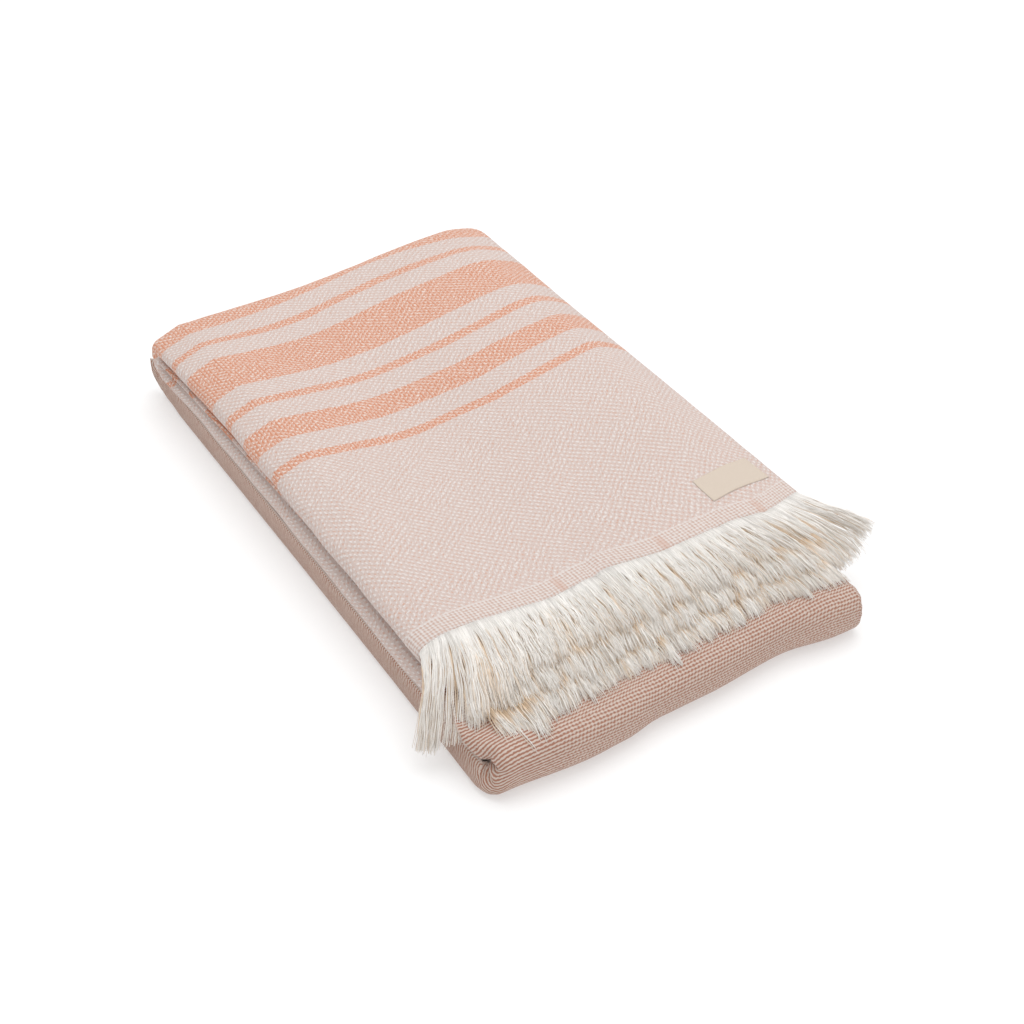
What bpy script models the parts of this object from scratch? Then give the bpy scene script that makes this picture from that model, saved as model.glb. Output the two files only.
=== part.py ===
"""A hammam towel, folded in three across its width and in three along its length.

The cloth is one sheet. Its cross-section goes back and forth three times (upper, middle and
lower panel), and this three-ply strip is then carried along a second back-and-forth path: a top
strip, round the back fold, a middle strip, round the front fold, and a bottom strip. Fringes hang
from both cut ends, and a small label is sewn on near the front fringe.

Metres, +Z up. The fringed end that shows lies at the front (-Y).
"""

import math
from collections import namedtuple
from functools import partial

import bpy
import numpy as np
from mathutils import Matrix

# Size of the folded towel.
STACK_HEIGHT = 0.074
CLOTH = 0.003
FRONT_EDGE = -0.005
BACK_EDGE = 0.573
LAYERS = 9

# Heights of the layers and of the three strips, from the floor up.
PITCH = (STACK_HEIGHT - CLOTH) / (LAYERS - 1)
STRIP_PITCH = 3 * PITCH
BOTTOM_STRIP = CLOTH / 2 + PITCH
MIDDLE_STRIP = BOTTOM_STRIP + STRIP_PITCH
TOP_STRIP = MIDDLE_STRIP + STRIP_PITCH

# The two folds across the length: radius of the middle ply, centres, and how square they are.
FOLD_RADIUS = STRIP_PITCH / 2
OUTER_RADIUS = FOLD_RADIUS + PITCH + CLOTH / 2
BACK_CENTRE = BACK_EDGE - OUTER_RADIUS
FRONT_CENTRE = FRONT_EDGE + OUTER_RADIUS
BACK_SQUARENESS = 2.5
FRONT_SQUARENESS = 2.8

# Where the cut ends lie, for the upper, middle and lower panel of a strip.
NEAR_ENDS = (0.100, 0.084, 0.067)
FAR_ENDS = (0.530, 0.535, 0.541)

# Where the upper panel's free selvedge lies: its x at these places along the sheet's path.
SELVEDGE_PLACES = (0.0, 0.2, 0.45, 1.0, 5.0)
UPPER_SELVEDGE = (0.3460, 0.3445, 0.3415, 0.3340, 0.3340)

# Places across the width at which the panels have points, right to left.
UPPER_STATIONS = (0.318, 0.304, 0.286, 0.262, 0.225, 0.175, 0.125, 0.080, 0.045, 0.024)
MIDDLE_STATIONS = (0.024, 0.045, 0.080, 0.150, 0.230, 0.295)
LOWER_STATIONS = (0.315, 0.230, 0.150, 0.080, 0.045, 0.030)
SELVEDGE_STEPS = 3
SELVEDGE_TURN = 1.2
FOLD_STEPS = 7
TAIL_STEPS = 5
TAIL_BEND = 0.006
LEFT_SWELL = (0.014, 0.078)

# Places along the strips at which the sheet has points, as shares of each stretch.
TOP_STEPS = (0.0, 0.05, 0.14, 0.26, 0.38, 0.50, 0.62, 0.74, 0.86, 0.95)
MIDDLE_STEPS = (0.0, 0.08, 0.25, 0.45, 0.65, 0.85, 0.94)
BOTTOM_STEPS = (0.0, 0.08, 0.20, 0.40, 0.60, 0.80, 1.0)
END_FOLD_STEPS = 9

# How the section of the three-ply strip changes on its way. "place" counts the stretches: 0 to 1
# the top strip, 1 to 2 the back fold, 2 to 3 the middle strip, 3 to 4 the front fold, 4 to 5 the
# bottom strip. The other columns are, in metres:
#   left, right     how far the left fold and the right fold reach
#   upper_h ..      heights of the panels at the left fold, from the strip's middle
#   tail            length of the lower panel left of its last station
#   bend            where that tail turns up, if it is long enough to get there
#   droop           how far the upper panel's selvedge drops over the right side
Section = namedtuple("Section", "place left right upper_h middle_h lower_h tail bend droop")
SECTIONS = (
    Section(0.00, 0.003, 0.327, 0.0089, -0.0063, -0.0109, 0.024, -0.020, 0.006),
    Section(0.45, 0.001, 0.329, 0.0089, -0.0063, -0.0109, 0.030, -0.020, 0.008),
    Section(0.88, -0.001, 0.327, 0.0089, -0.0060, -0.0105, 0.034, -0.020, 0.008),
    Section(1.00, -0.003, 0.325, 0.0089, -0.0035, -0.0089, 0.034, -0.020, 0.006),
    Section(2.00, -0.001, 0.325, 0.0089, -0.0035, -0.0089, 0.030, -0.020, 0.004),
    Section(2.15, 0.001, 0.326, 0.0100, -0.0061, -0.0107, 0.024, -0.020, 0.003),
    Section(2.60, 0.002, 0.329, 0.0102, -0.0063, -0.0109, 0.022, -0.020, 0.003),
    Section(2.92, 0.005, 0.331, 0.0095, -0.0050, -0.0100, 0.022, -0.020, 0.003),
    Section(3.00, 0.007, 0.331, 0.0089, -0.0035, -0.0089, 0.022, -0.018, 0.003),
    Section(4.00, 0.009, 0.331, 0.0089, -0.0005, -0.0089, 0.037, 0.001, 0.003),
    Section(4.20, 0.008, 0.330, 0.0089, 0.0000, -0.0089, 0.047, 0.000, 0.003),
    Section(4.70, 0.007, 0.327, 0.0089, 0.0000, -0.0089, 0.050, 0.000, 0.003),
    Section(5.00, 0.008, 0.326, 0.0089, 0.0000, -0.0089, 0.049, 0.001, 0.003),
)

# How the whole stack departs from straight. Its top has a ridge near each long edge and a hollow
# between them. The columns give its height along those lines, and the rows are places along it.
Crown = namedtuple("Crown", "y left_edge left_ridge hollow right_ridge right_edge")
CROWN_X = (0.000, 0.025, 0.122, 0.292, 0.345)
CROWNS = (
    Crown(0.010, 0.0640, 0.0685, 0.0645, 0.0690, 0.0640),
    Crown(0.100, 0.0650, 0.0700, 0.0650, 0.0725, 0.0670),
    Crown(0.323, 0.0730, 0.0815, 0.0695, 0.0900, 0.0730),
    Crown(0.409, 0.0740, 0.0825, 0.0710, 0.0910, 0.0730),
    Crown(0.494, 0.0710, 0.0795, 0.0715, 0.0905, 0.0750),
    Crown(0.550, 0.0665, 0.0750, 0.0738, 0.0850, 0.0750),
)
Bulge = namedtuple("Bulge", "x forward")
FRONT_BULGES = (
    Bulge(-0.040, 0.000),
    Bulge(0.005, 0.000),
    Bulge(0.080, 0.0055),
    Bulge(0.110, 0.0040),
    Bulge(0.145, -0.0015),
    Bulge(0.186, -0.0020),
    Bulge(0.262, -0.007),
    Bulge(0.312, 0.000),
    Bulge(0.380, 0.002),
)
BULGE_DEPTH = 0.066

# Fringes. A row is a narrow backing strip with locks that stand apart in front of it.
PIECE_GAP = 0.0004
BACKING_DEPTH = 0.003
LOCK_STEPS = 3
LOCK_WIDTHS = (1.0, 0.80, 0.72, 0.46)
# A lock's curve: the two control points between root and tip, as shares of the way in x, y and z.
LEAVING = (0.15, 0.36, 0.0)
ARRIVING = (0.65, 0.75, 0.45)
REACH_UNEVENNESS = 0.08
SIDE_UNEVENNESS = 0.001
FRINGE_SEED = 7
# Columns of a row: panel (0 upper, 1 middle, 2 lower), how many locks, where its roots start and
# end across the width, thickness at root and tip.
FringeRow = namedtuple("FringeRow", "name panel locks start stop root_thick tip_thick")
NEAR_ROWS = (
    FringeRow("near_fringe_upper", 0, 37, 0.006, 0.3390, 0.0024, 0.0012),
    FringeRow("near_fringe_middle", 1, 34, 0.014, 0.3220, 0.0022, 0.0011),
    FringeRow("near_fringe_lower", 2, 34, 0.010, 0.3150, 0.0022, 0.0011),
)
FAR_ROWS = (
    FringeRow("far_fringe_upper", 0, 18, 0.018, 0.3200, 0.0024, 0.0014),
    FringeRow("far_fringe_middle", 1, 18, 0.025, 0.3180, 0.0024, 0.0014),
    FringeRow("far_fringe_lower", 2, 18, 0.016, 0.3140, 0.0025, 0.0024),
)
# Where the locks' tips lie, by place of the root: how far sideways and how far out they reach,
# and their height in the straight stack.
Tip = namedtuple("Tip", "x sideways reach height")
NEAR_TIPS = (
    (
        Tip(0.010, -0.040, 0.041, 0.0270),
        Tip(0.020, -0.038, 0.047, 0.0320),
        Tip(0.029, -0.037, 0.052, 0.0470),
        Tip(0.038, -0.029, 0.052, 0.0610),
        Tip(0.055, -0.013, 0.053, 0.0620),
        Tip(0.090, -0.004, 0.052, 0.0620),
        Tip(0.190, 0.002, 0.054, 0.0620),
        Tip(0.260, 0.009, 0.052, 0.0625),
        Tip(0.300, 0.020, 0.052, 0.0635),
        Tip(0.339, 0.038, 0.051, 0.0645),
    ),
    (
        Tip(0.014, -0.006, 0.050, 0.0545),
        Tip(0.080, -0.003, 0.053, 0.0548),
        Tip(0.250, 0.003, 0.053, 0.0548),
        Tip(0.320, 0.020, 0.052, 0.0555),
    ),
    (
        Tip(0.010, -0.004, 0.053, 0.0507),
        Tip(0.080, -0.002, 0.055, 0.0493),
        Tip(0.250, 0.002, 0.055, 0.0490),
        Tip(0.320, 0.012, 0.054, 0.0490),
    ),
)
FAR_TIPS = (
    (
        Tip(0.000, 0.020, 0.052, 0.0140),
        Tip(0.100, 0.004, 0.056, 0.0140),
        Tip(0.333, 0.000, 0.056, 0.0140),
    ),
    (
        Tip(0.000, 0.018, 0.052, 0.0062),
        Tip(0.100, 0.004, 0.056, 0.0062),
        Tip(0.333, 0.000, 0.056, 0.0062),
    ),
    (
        Tip(0.000, 0.016, 0.052, 0.0015),
        Tip(0.100, 0.004, 0.056, 0.0015),
        Tip(0.333, 0.000, 0.056, 0.0015),
    ),
)
# The sheet's two cut ends: place on the path, height of the strip there, side (-1 front, 1 back),
# its fringe rows and where they lie.
CutEnd = namedtuple("CutEnd", "place strip side rows tips places_y")
CUT_ENDS = (
    CutEnd(0.0, TOP_STRIP, -1, NEAR_ROWS, NEAR_TIPS, NEAR_ENDS),
    CutEnd(5.0, BOTTOM_STRIP, 1, FAR_ROWS, FAR_TIPS, FAR_ENDS),
)

# Label.
LABEL_CORNERS = ((0.2757, 0.1170), (0.3345, 0.1230), (0.2775, 0.1480), (0.3322, 0.1520))
LABEL_STEPS = (8, 4)
LABEL_THICK = 0.0008
LABEL_CLEARANCE = 0.0005

# Materials: colour, roughness.
CLOTH_COLOUR = (0.81, 0.70, 0.63)
FRINGE_COLOUR = (0.86, 0.82, 0.76)
LABEL_COLOUR = (0.75, 0.66, 0.51)
CLOTH_ROUGHNESS = 0.92
FRINGE_ROUGHNESS = 0.85
LABEL_ROUGHNESS = 0.80

SHARP_ANGLE = math.radians(50)


def clear_scene():
    """Removes whatever the scene starts with."""
    for old in list(bpy.data.objects):
        bpy.data.objects.remove(old, do_unlink=True)


def make_material(name, colour, roughness):
    """A plain non-metallic Principled material."""
    material = bpy.data.materials.new(name)
    material.use_nodes = True
    shader = material.node_tree.nodes["Principled BSDF"]
    shader.inputs["Base Color"].default_value = (*colour, 1.0)
    shader.inputs["Roughness"].default_value = roughness
    shader.inputs["Metallic"].default_value = 0.0
    return material


def smooth(value):
    """Eases from 0 to 1 as value goes from 0 to 1, and stays there on both sides."""
    value = np.clip(value, 0.0, 1.0)
    return value * value * (3.0 - 2.0 * value)


def column(rows, name):
    """One named column of a table, as an array."""
    return np.array([getattr(row, name) for row in rows])


def eased(places, values, at):
    """Values between the given places, eased so that each given one is a crest or a hollow."""
    index = np.clip(np.searchsorted(places, at) - 1, 0, len(places) - 2)
    share = smooth((at - places[index]) / (places[index + 1] - places[index]))
    return values[index] + (values[index + 1] - values[index]) * share


def crown_height(x, y):
    """Height of the top of the stack."""
    rows = column(CROWNS, "y")
    across = np.array(CROWN_X)
    lines = np.stack([eased(rows, column(CROWNS, name), y) for name in Crown._fields[1:]])
    index = np.clip(np.searchsorted(across, x) - 1, 0, len(across) - 2)
    share = smooth((x - across[index]) / (across[index + 1] - across[index]))
    spot = np.arange(len(x))
    return lines[index, spot] + (lines[index + 1, spot] - lines[index, spot]) * share


def settle(points):
    """Moves points of the straight stack to where the soft stack has them."""
    x, y, z = points[:, 0].copy(), points[:, 1].copy(), points[:, 2].copy()
    rise = (crown_height(x, y) - CLOTH) / (STACK_HEIGHT - CLOTH)
    height = CLOTH / 2 + (z - CLOTH / 2) * rise
    forward = eased(column(FRONT_BULGES, "x"), column(FRONT_BULGES, "forward"), x)
    share = 1.0 - smooth((y - FRONT_EDGE) / BULGE_DEPTH)
    return np.stack([x, y - forward * share, height], axis=1)


def tail_points(start_x, height, length, bend):
    """The lower panel's last stretch: flat to the left, then up a bend, then straight up."""
    run = np.linspace(0.0, length, TAIL_STEPS + 1)[1:]
    flat = start_x - (bend + TAIL_BEND)
    turn = np.clip((run - flat) / TAIL_BEND, 0.0, math.pi / 2)
    rise = np.maximum(run - flat - TAIL_BEND * math.pi / 2, 0.0)
    x = start_x - np.minimum(run, flat) - TAIL_BEND * np.sin(turn)
    h = height + TAIL_BEND * (1.0 - np.cos(turn)) + rise
    return x, h


def half_turn(reach, upper, lower, side):
    """A fold between two panels that bulges to one side (-1 left, 1 right)."""
    angles = np.linspace(math.pi / 2, -math.pi / 2, FOLD_STEPS + 1)[1:-1]
    radius = (upper - lower) / 2
    x = reach - side * radius + side * radius * np.cos(angles)
    h = (upper + lower) / 2 + radius * np.sin(angles)
    return x, h


def swelling(x):
    """How far the panels at x have spread towards the left fold: 1 at the fold, 0 away from it."""
    return 1.0 - smooth((x - LEFT_SWELL[0]) / (LEFT_SWELL[1] - LEFT_SWELL[0]))


def cross_section(place):
    """The strip at one place on the path: x and height of its points, and the panel of each.

    The points run from the upper panel's right edge to the left fold, back to the right fold, and
    to the lower panel's left edge. Panels are 0 upper, 1 middle and 2 lower."""
    places = column(SECTIONS, "place")
    now = {
        name: float(np.interp(place, places, column(SECTIONS, name)))
        for name in Section._fields[1:]
    }
    edge_turn = np.linspace(1.0, 0.0, SELVEDGE_STEPS + 1)[:-1]
    overhang = np.interp(place, SELVEDGE_PLACES, UPPER_SELVEDGE) - UPPER_STATIONS[0]
    edge_x = UPPER_STATIONS[0] + overhang * np.sin(edge_turn * SELVEDGE_TURN)
    edge_h = PITCH - now["droop"] * edge_turn**2
    upper_x = np.array(UPPER_STATIONS)
    upper_h = PITCH + (now["upper_h"] - PITCH) * swelling(upper_x)
    left_x, left_h = half_turn(now["left"], now["upper_h"], now["middle_h"], -1)
    middle_x = np.array(MIDDLE_STATIONS)
    middle_h = now["middle_h"] * swelling(middle_x)
    right_x, right_h = half_turn(now["right"], 0.0, -PITCH, 1)
    lower_x = np.array(LOWER_STATIONS)
    lower_h = -PITCH + (now["lower_h"] + PITCH) * swelling(lower_x)
    tail_x, tail_h = tail_points(lower_x[-1], lower_h[-1], now["tail"], now["bend"])

    x = np.concatenate([edge_x, upper_x, left_x, middle_x, right_x, lower_x, tail_x])
    h = np.concatenate([edge_h, upper_h, left_h, middle_h, right_h, lower_h, tail_h])
    # A fold belongs to the panel above it down to its middle, and then passes to the one below.
    passing = np.clip(np.linspace(-1.0, 1.0, FOLD_STEPS + 1)[1:-1], 0.0, 1.0)
    panel = np.concatenate(
        [
            np.zeros(len(edge_x) + len(upper_x)),
            passing,
            np.ones(len(middle_x)),
            1.0 + passing,
            np.full(len(lower_x) + len(tail_x), 2.0),
        ]
    )
    return x, h, panel


def panel_level(place, strip, panel, at_x):
    """Height of one panel of a strip, across the width."""
    x, h, panels = cross_section(place)
    here = panels == panel
    order = np.argsort(x[here])
    return strip + np.interp(at_x, x[here][order], h[here][order])


def end_fold(centre_y, centre_z, radii, angle, squareness):
    """Points of a rounded fold across the length, squarer than a circle."""
    across, up = math.cos(angle), math.sin(angle)
    reach = (abs(across) ** squareness + abs(up) ** squareness) ** (-1.0 / squareness)
    return centre_y + radii * reach * across, centre_z + radii * reach * up


def path_places():
    """Every place along the path at which the sheet has a row of points."""
    fold = np.linspace(0.0, 1.0, END_FOLD_STEPS + 1)[:-1]
    stretches = (TOP_STEPS, fold, MIDDLE_STEPS, fold, BOTTOM_STEPS)
    return np.concatenate([start + np.array(steps) for start, steps in enumerate(stretches)])


def sheet_row(place):
    """One row of points across the folded cloth."""
    x, h, panel = cross_section(place)
    stretch = min(int(place), 4)
    share = place - stretch
    near = np.interp(panel, range(3), NEAR_ENDS)
    far = np.interp(panel, range(3), FAR_ENDS)
    if stretch == 0:
        y = near + (BACK_CENTRE - near) * share
        z = TOP_STRIP + h
    elif stretch == 1:
        angle = math.pi / 2 - math.pi * share
        middle = (TOP_STRIP + MIDDLE_STRIP) / 2
        y, z = end_fold(BACK_CENTRE, middle, FOLD_RADIUS + h, angle, BACK_SQUARENESS)
    elif stretch == 2:
        y = np.full(len(x), BACK_CENTRE + (FRONT_CENTRE - BACK_CENTRE) * share)
        z = MIDDLE_STRIP - h
    elif stretch == 3:
        angle = math.pi / 2 + math.pi * share
        middle = (MIDDLE_STRIP + BOTTOM_STRIP) / 2
        y, z = end_fold(FRONT_CENTRE, middle, FOLD_RADIUS - h, angle, FRONT_SQUARENESS)
    else:
        y = FRONT_CENTRE + (far - FRONT_CENTRE) * share
        z = BOTTOM_STRIP + h
    return np.stack([x, y, z], axis=1)


def grid_faces(rows, columns):
    """Four-sided faces of a grid whose points are stored row by row."""
    first = np.arange(rows * columns).reshape(rows, columns)
    corners = (first[:-1, :-1], first[:-1, 1:], first[1:, 1:], first[1:, :-1])
    return np.stack([corner.reshape(-1) for corner in corners], axis=1)


def mesh_object(name, points, faces, material):
    """An object from points and faces, with its material."""
    mesh = bpy.data.meshes.new(name)
    mesh.from_pydata([tuple(point) for point in points], [], [tuple(face) for face in faces])
    mesh.materials.append(material)
    thing = bpy.data.objects.new(name, mesh)
    bpy.context.scene.collection.objects.link(thing)
    return thing


def thicken(thing, thickness):
    """Gives a sheet its thickness, half on each side."""
    solidify = thing.modifiers.new("thickness", "SOLIDIFY")
    solidify.thickness = thickness
    solidify.offset = 0.0
    solidify.use_even_offset = True


def build_cloth(material):
    """The towel itself: one sheet, folded twice."""
    rows = [sheet_row(place) for place in path_places()]
    points = settle(np.concatenate(rows))
    faces = grid_faces(len(rows), len(rows[0]))[:, ::-1]
    cloth = mesh_object("towel_cloth", points, faces, material)
    thicken(cloth, CLOTH)
    return cloth


def bezier(ends, share):
    """A point of the cubic curve with these four control points."""
    weights = ((1 - share) ** 3, 3 * share * (1 - share) ** 2, 3 * share**2 * (1 - share), share**3)
    return sum(weight * end for weight, end in zip(weights, ends))


def bezier_heading(ends, share):
    """The unit direction of that curve."""
    steps = [after - before for before, after in zip(ends, ends[1:])]
    weights = ((1 - share) ** 2, 2 * share * (1 - share), share**2)
    heading = sum(weight * step for weight, step in zip(weights, steps))
    return heading / np.linalg.norm(heading)


def lock_rings(root, tip, width, row):
    """The four-cornered rings of one lock, from just past its root to its tip."""
    away = tip - root
    ends = (root, root + away * LEAVING, root + away * ARRIVING, tip)
    rings = []
    for step in range(1, LOCK_STEPS + 1):
        share = step / LOCK_STEPS
        heading = bezier_heading(ends, share)
        sideways = np.array([1.0, 0.0, 0.0]) - heading[0] * heading
        sideways /= np.linalg.norm(sideways)
        upward = np.cross(sideways, heading)
        upward *= math.copysign(1.0, upward[2])
        half_width = width * LOCK_WIDTHS[step] / 2
        half_thick = (row.root_thick + (row.tip_thick - row.root_thick) * share) / 2
        centre = bezier(ends, share)
        rings.append(
            [
                centre - sideways * half_width - upward * half_thick,
                centre + sideways * half_width - upward * half_thick,
                centre + sideways * half_width + upward * half_thick,
                centre - sideways * half_width + upward * half_thick,
            ]
        )
    return rings


def backing_points(edges, levels, near_y, far_y, half):
    """Four points at each place: near the cloth low and high, then away from it high and low."""
    points = []
    for x, z in zip(edges, levels):
        points.append(np.array([x, near_y, z - half]))
        points.append(np.array([x, near_y, z + half]))
        points.append(np.array([x, far_y, z + half]))
        points.append(np.array([x, far_y, z - half]))
    return points


def fringe_row(row, tips, end_y, levels_at, side, material, chance):
    """A backing strip with its locks, all one mesh. levels_at gives the height of the cloth's end
    across the width, and side is -1 for the front, 1 for the back."""
    edges = np.linspace(row.start, row.stop, row.locks + 1)
    levels = levels_at(edges)
    near_y = end_y + side * PIECE_GAP
    front_y = near_y + side * BACKING_DEPTH
    points = backing_points(edges, levels, near_y, front_y, row.root_thick / 2)
    places = column(tips, "x")
    last = 4 * row.locks
    faces = [(3, 2, 1, 0), (last, last + 1, last + 2, last + 3)]
    for cell in range(row.locks):
        here, there = 4 * cell, 4 * cell + 4
        for low, high in ((0, 1), (1, 2), (3, 0)):
            faces.append((here + low, here + high, there + high, there + low))
        middle = (edges[cell] + edges[cell + 1]) / 2
        reach = np.interp(middle, places, column(tips, "reach"))
        reach *= 1.0 + chance.uniform(-REACH_UNEVENNESS, REACH_UNEVENNESS)
        sideways = np.interp(middle, places, column(tips, "sideways"))
        sideways += chance.uniform(-SIDE_UNEVENNESS, SIDE_UNEVENNESS)
        tip_z = np.interp(middle, places, column(tips, "height"))
        root = np.array([middle, front_y, (levels[cell] + levels[cell + 1]) / 2])
        tip = np.array([middle + sideways, front_y + side * reach, tip_z])
        rings = lock_rings(root, tip, edges[1] - edges[0], row)
        ring = [here + 3, there + 3, there + 2, here + 2]
        for corners in rings:
            start = len(points)
            points.extend(corners)
            following = [start, start + 1, start + 2, start + 3]
            for k in range(4):
                after = (k + 1) % 4
                faces.append((ring[k], ring[after], following[after], following[k]))
            ring = following
        faces.append(tuple(ring))
    if side > 0:
        faces = [face[::-1] for face in faces]
    points = settle(np.array(points))
    return mesh_object(row.name, points, faces, material)


def build_fringes(material):
    """All six rows: three at the front of the top strip, three at the back of the bottom one."""
    chance = np.random.default_rng(FRINGE_SEED)
    things = []
    for end in CUT_ENDS:
        for row, tips, end_y in zip(end.rows, end.tips, end.places_y):
            levels_at = partial(panel_level, end.place, end.strip, row.panel)
            things.append(fringe_row(row, tips, end_y, levels_at, end.side, material, chance))
    return things


def build_label(material):
    """The small label, which follows the cloth under it."""
    across = np.linspace(0.0, 1.0, LABEL_STEPS[0] + 1)
    along = np.linspace(0.0, 1.0, LABEL_STEPS[1] + 1)
    t, s = (share[..., None] for share in np.meshgrid(along, across, indexing="ij"))
    left, right, far_left, far_right = np.array(LABEL_CORNERS)
    near = left + (right - left) * s
    far = far_left + (far_right - far_left) * s
    flat = (near + (far - near) * t).reshape(-1, 2)
    levels = panel_level(0.05, TOP_STRIP, 0, flat[:, 0])
    points = settle(np.column_stack([flat, levels]))
    points[:, 2] += CLOTH / 2 + LABEL_CLEARANCE + LABEL_THICK / 2
    label = mesh_object("sewn_label", points, grid_faces(len(along), len(across)), material)
    thicken(label, LABEL_THICK)
    return label


def centre_on_base(things):
    """Puts the origin under the middle of the whole part, on the floor."""
    bpy.context.view_layer.update()
    graph = bpy.context.evaluated_depsgraph_get()
    boxes = [thing.evaluated_get(graph).bound_box for thing in things]
    corners = np.array([corner[:] for box in boxes for corner in box])
    low, high = corners.min(axis=0), corners.max(axis=0)
    shift = (-(low[0] + high[0]) / 2, -(low[1] + high[1]) / 2, -low[2])
    for thing in things:
        thing.data.transform(Matrix.Translation(shift))


def build_towel():
    """Builds every piece of the folded towel."""
    clear_scene()
    cloth_material = make_material("cotton_cloth", CLOTH_COLOUR, CLOTH_ROUGHNESS)
    fringe_material = make_material("cotton_fringe", FRINGE_COLOUR, FRINGE_ROUGHNESS)
    label_material = make_material("label_tape", LABEL_COLOUR, LABEL_ROUGHNESS)
    things = [build_cloth(cloth_material), *build_fringes(fringe_material), build_label(label_material)]
    centre_on_base(things)
    for thing in things:
        thing.data.shade_smooth()
        thing.data.set_sharp_from_angle(angle=SHARP_ANGLE)


build_towel()
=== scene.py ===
"""Dresses a folded hammam towel: woven cloth with stripes and hems, loose fringes, a plain label.

Every shape is worked out in the stack's own coordinates, in metres: x from the left fold to the
right, y from the front fold to the back one, z up from the floor. STACK_TO_ROW then moves it onto
the part. The camera, the lights and the floor are made last.
"""

import logging
import math
from dataclasses import dataclass, field
from enum import Enum
from typing import Callable, NamedTuple, Optional, Sequence, Union

import bpy
import numpy as np
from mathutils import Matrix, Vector


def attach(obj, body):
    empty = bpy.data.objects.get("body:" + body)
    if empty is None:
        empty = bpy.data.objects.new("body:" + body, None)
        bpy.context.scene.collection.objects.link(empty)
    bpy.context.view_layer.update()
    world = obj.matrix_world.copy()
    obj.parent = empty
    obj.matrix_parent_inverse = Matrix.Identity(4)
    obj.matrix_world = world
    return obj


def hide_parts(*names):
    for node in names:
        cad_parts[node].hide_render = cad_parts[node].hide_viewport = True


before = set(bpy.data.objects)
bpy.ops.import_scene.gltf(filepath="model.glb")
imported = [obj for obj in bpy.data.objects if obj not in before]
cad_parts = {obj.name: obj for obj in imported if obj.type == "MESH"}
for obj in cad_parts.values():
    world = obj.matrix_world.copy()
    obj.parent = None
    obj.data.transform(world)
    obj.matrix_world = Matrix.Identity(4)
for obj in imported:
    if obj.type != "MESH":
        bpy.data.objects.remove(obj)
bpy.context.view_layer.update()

LOG = logging.getLogger("towel")
ROOT = "root"

STACK_TO_ROW = np.array([-0.17092, -0.29713, 0.0])

Array = np.ndarray
Colour = tuple[float, float, float]
Triple = tuple[float, float, float]
Socket = bpy.types.NodeSocket
Plug = Union[Socket, float]
UP = np.array([0.0, 0.0, 1.0])


# Measures shared by the pieces


@dataclass(frozen=True)
class StackSizes:
    """The straight stack, before it settles: nine layers in three strips of three panels.

    near_ends and far_ends say where each panel's two cut ends lie, from the upper panel down. The
    squareness of a fold is the power of its turn. hem_pull bends the upper panel's near hem at
    hem_places, and fades out over hem_pull_share of the top strip.
    """

    height: float = 0.074
    ply: float = 0.003
    layers: int = 9
    front_edge: float = -0.005
    back_edge: float = 0.573
    near_ends: Triple = (0.100, 0.084, 0.067)
    far_ends: Triple = (0.530, 0.535, 0.541)
    back_squareness: float = 2.5
    front_squareness: float = 2.8
    hem_places: tuple[float, ...] = (
        0.050, 0.115, 0.165, 0.209, 0.245, 0.272, 0.302, 0.315, 0.333, 0.346
    )
    hem_pull: tuple[float, ...] = (
        0.0000, 0.0043, -0.001, 0.0080, 0.0095, 0.0097, 0.0150, 0.0120, 0.0060, 0.0030
    )
    hem_pull_share: float = 0.15

    def pull(self, x: Array, panel: Array) -> Array:
        """How far the upper panel's near hem stands out of its straight line, at places across."""
        return np.interp(x, self.hem_places, self.hem_pull) * (1.0 - np.clip(panel, 0.0, 1.0))

    @property
    def pitch(self) -> float:
        """Distance from one layer to the next."""
        return (self.height - self.ply) / (self.layers - 1)

    @property
    def bottom(self) -> float:
        """Height of the bottom strip's middle panel."""
        return self.ply / 2 + self.pitch

    @property
    def middle(self) -> float:
        """Height of the middle strip's middle panel."""
        return self.bottom + 3 * self.pitch

    @property
    def top(self) -> float:
        """Height of the top strip's middle panel."""
        return self.middle + 3 * self.pitch

    @property
    def fold_radius(self) -> float:
        """Radius of the middle panel round either fold across the length."""
        return 1.5 * self.pitch

    @property
    def back_centre(self) -> float:
        """Where the back fold's centre lies."""
        return self.back_edge - self.fold_radius - self.pitch - self.ply / 2

    @property
    def front_centre(self) -> float:
        """Where the front fold's centre lies."""
        return self.front_edge + self.fold_radius + self.pitch + self.ply / 2


STACK = StackSizes()


def smooth(value: Array) -> Array:
    """Eases from 0 to 1 as value goes from 0 to 1: 3 value squared less 2 value cubed."""
    value = np.clip(value, 0.0, 1.0)
    return value * value * (3.0 - 2.0 * value)


def column(rows: Sequence[NamedTuple], name: str) -> Array:
    """One named column of a table, as an array."""
    return np.array([getattr(row, name) for row in rows])


def waves(at: Array, lengths: Sequence[float], seed: int) -> Array:
    """A slow uneven ripple from about -1 to 1: sines of a few wave lengths, summed and averaged.

    Args:
        at: Where it is wanted.
        lengths: The wave lengths.
        seed: Picks the phases.

    Returns:
        A value for each of at.
    """
    phases = np.random.default_rng(seed).uniform(0.0, 2.0 * math.pi, len(lengths))
    ripples = (np.sin(2.0 * math.pi * at / length + phase) for length, phase in zip(lengths, phases))
    return sum(ripples) / len(lengths)


def between(places: Array, at: Array) -> tuple[Array, Array]:
    """The index of the interval that each of at lies in, and its share of the way through."""
    index = np.clip(np.searchsorted(places, at) - 1, 0, len(places) - 2)
    return index, (at - places[index]) / (places[index + 1] - places[index])


def eased(places: Array, values: Array, at: Array) -> Array:
    """Values between given ones, eased so that each given one is a crest or a hollow."""
    index, share = between(places, at)
    return values[index] + (values[index + 1] - values[index]) * smooth(share)


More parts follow.
